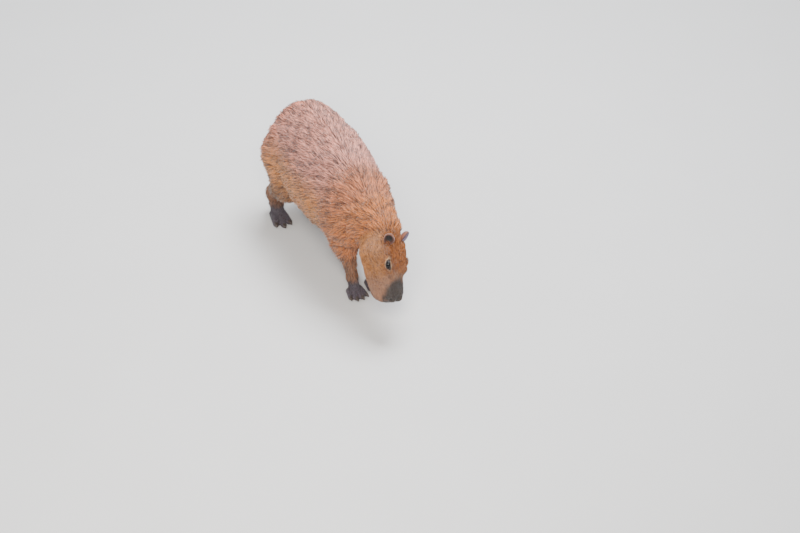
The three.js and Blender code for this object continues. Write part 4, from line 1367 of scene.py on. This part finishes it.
# %% The look of horn
HORN_TINTS = ((0.3, linear(34, 28, 27)), (0.75, linear(96, 82, 74)))
claw_look, claw_tree, claw_shader = material("dark_horn", Roughness=0.38)
along_horn = read(claw_tree, "horn", "Vector")
grooves = new_node(claw_tree, "ShaderNodeMapping", None, Vector=along_horn, Scale=(2, 9, 1))
groove = new_node(claw_tree, "ShaderNodeTexNoise", None, Vector=grooves.outputs[0], Scale=1.6, Detail=4.0)
ridges = groove.outputs["Fac"]
claw_tree.links.new(ramped(claw_tree, ridges, HORN_TINTS), claw_shader.inputs["Base Color"])
claw_tree.links.new(ranged(claw_tree, ridges, 0.3, 0.7, 0.3, 0.55), claw_shader.inputs["Roughness"])
bumped(claw_tree, claw_shader, ridges, 0.4, 0.0005)
print("horn", len(claw_tree.nodes), "nodes")

# %% Claws
CLAW_LENGTH, CLAW_ROOTED, CLAW_STEPS = 17.0, 3.5, 20
CLAW_BED, CLAW_ROOM, CLAW_RISE = 0.35, 1.5, 0.6  # the first is a share of the toe's radius
CLAW_HOOK, HOOKED_LATE = 3.2, 1.6
CLAW_ABOVE, CLAW_BELOW = 0.95, 0.7  # its half heights as shares of its half width
CLAW_RINGS = ((0, 0.66), (0.15, 0.64), (0.4, 0.58), (0.62, 0.48), (0.8, 0.35), (0.92, 0.2), (0.98, 0.09))


def claw(name, tip, turn, toe):
    """A blunt hooked cone in front of a toe."""
    ahead = np.array([math.cos(turn), math.sin(turn), 0])
    across = np.array([-ahead[1], ahead[0], 0])
    start = np.array([*tip, toe + CLAW_RISE]) + ahead * (toe * CLAW_BED + CLAW_ROOM - CLAW_ROOTED)
    spots, horn = [], []
    for share, wide in CLAW_RINGS:
        centre = start + ahead * CLAW_LENGTH * share + np.array([0, 0, -CLAW_HOOK * share**HOOKED_LATE])
        for k in range(CLAW_STEPS):
            b = 2 * math.pi * k / CLAW_STEPS
            over = math.sin(b) * (CLAW_ABOVE if math.sin(b) > 0 else CLAW_BELOW)
            spots.append(centre + across * wide * toe * math.cos(b) + np.array([0, 0, wide * toe * over]))
            horn.append((share, abs(k - CLAW_STEPS / 2) / (CLAW_STEPS / 2), 0))
    end = (len(CLAW_RINGS) - 1) * CLAW_STEPS
    corners = bands(len(CLAW_RINGS), CLAW_STEPS)
    corners += [tuple(reversed(range(CLAW_STEPS))), tuple(end + k for k in range(CLAW_STEPS))]
    made = shell(name, np.array(spots) * MM + SHIFT, corners, claw_look)
    set_point_values(made.data, "horn", "FLOAT_VECTOR", horn)
    return made


claws = []
for leg in LEGS:
    foot = leg.replace("leg", "foot")
    for i, (_, tip, turn_of_toe) in enumerate(toes_of(leg)):
        node = f"claw_{foot}_{i + 1}"
        claws.append((node, claw(f"horn_{node}", tip, turn_of_toe, kind_of(leg)["toe"])))
print("claws", len(claws))

# %% [markdown]
# ## Joining the frame
# Each piece rides on the one body, and the solids it stands for are hidden. The tuft samples are no longer
# needed.

# %% Ride and replace
for spare in list(tufts.objects):
    bpy.data.objects.remove(spare)
bpy.data.collections.remove(tufts)
skin_parts = ["torso", "neck", "head"] + list(LEGS) + [n.replace("leg", "foot") for n in LEGS]
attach(skin, "root")
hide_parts(*skin_parts)
for piece in coat:
    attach(piece, "root")
for (word, piece), cup in zip((("right", eyes[0]), ("left", eyes[1])), ears):
    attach(piece, "root")
    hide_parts(f"eye_{word}")
    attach(cup, "root")
    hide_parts(f"ear_{word}")
for node, piece in claws:
    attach(piece, "root")
    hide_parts(node)
print("replaced", len(skin_parts) + len(eyes) + len(ears) + len(claws), "solids")
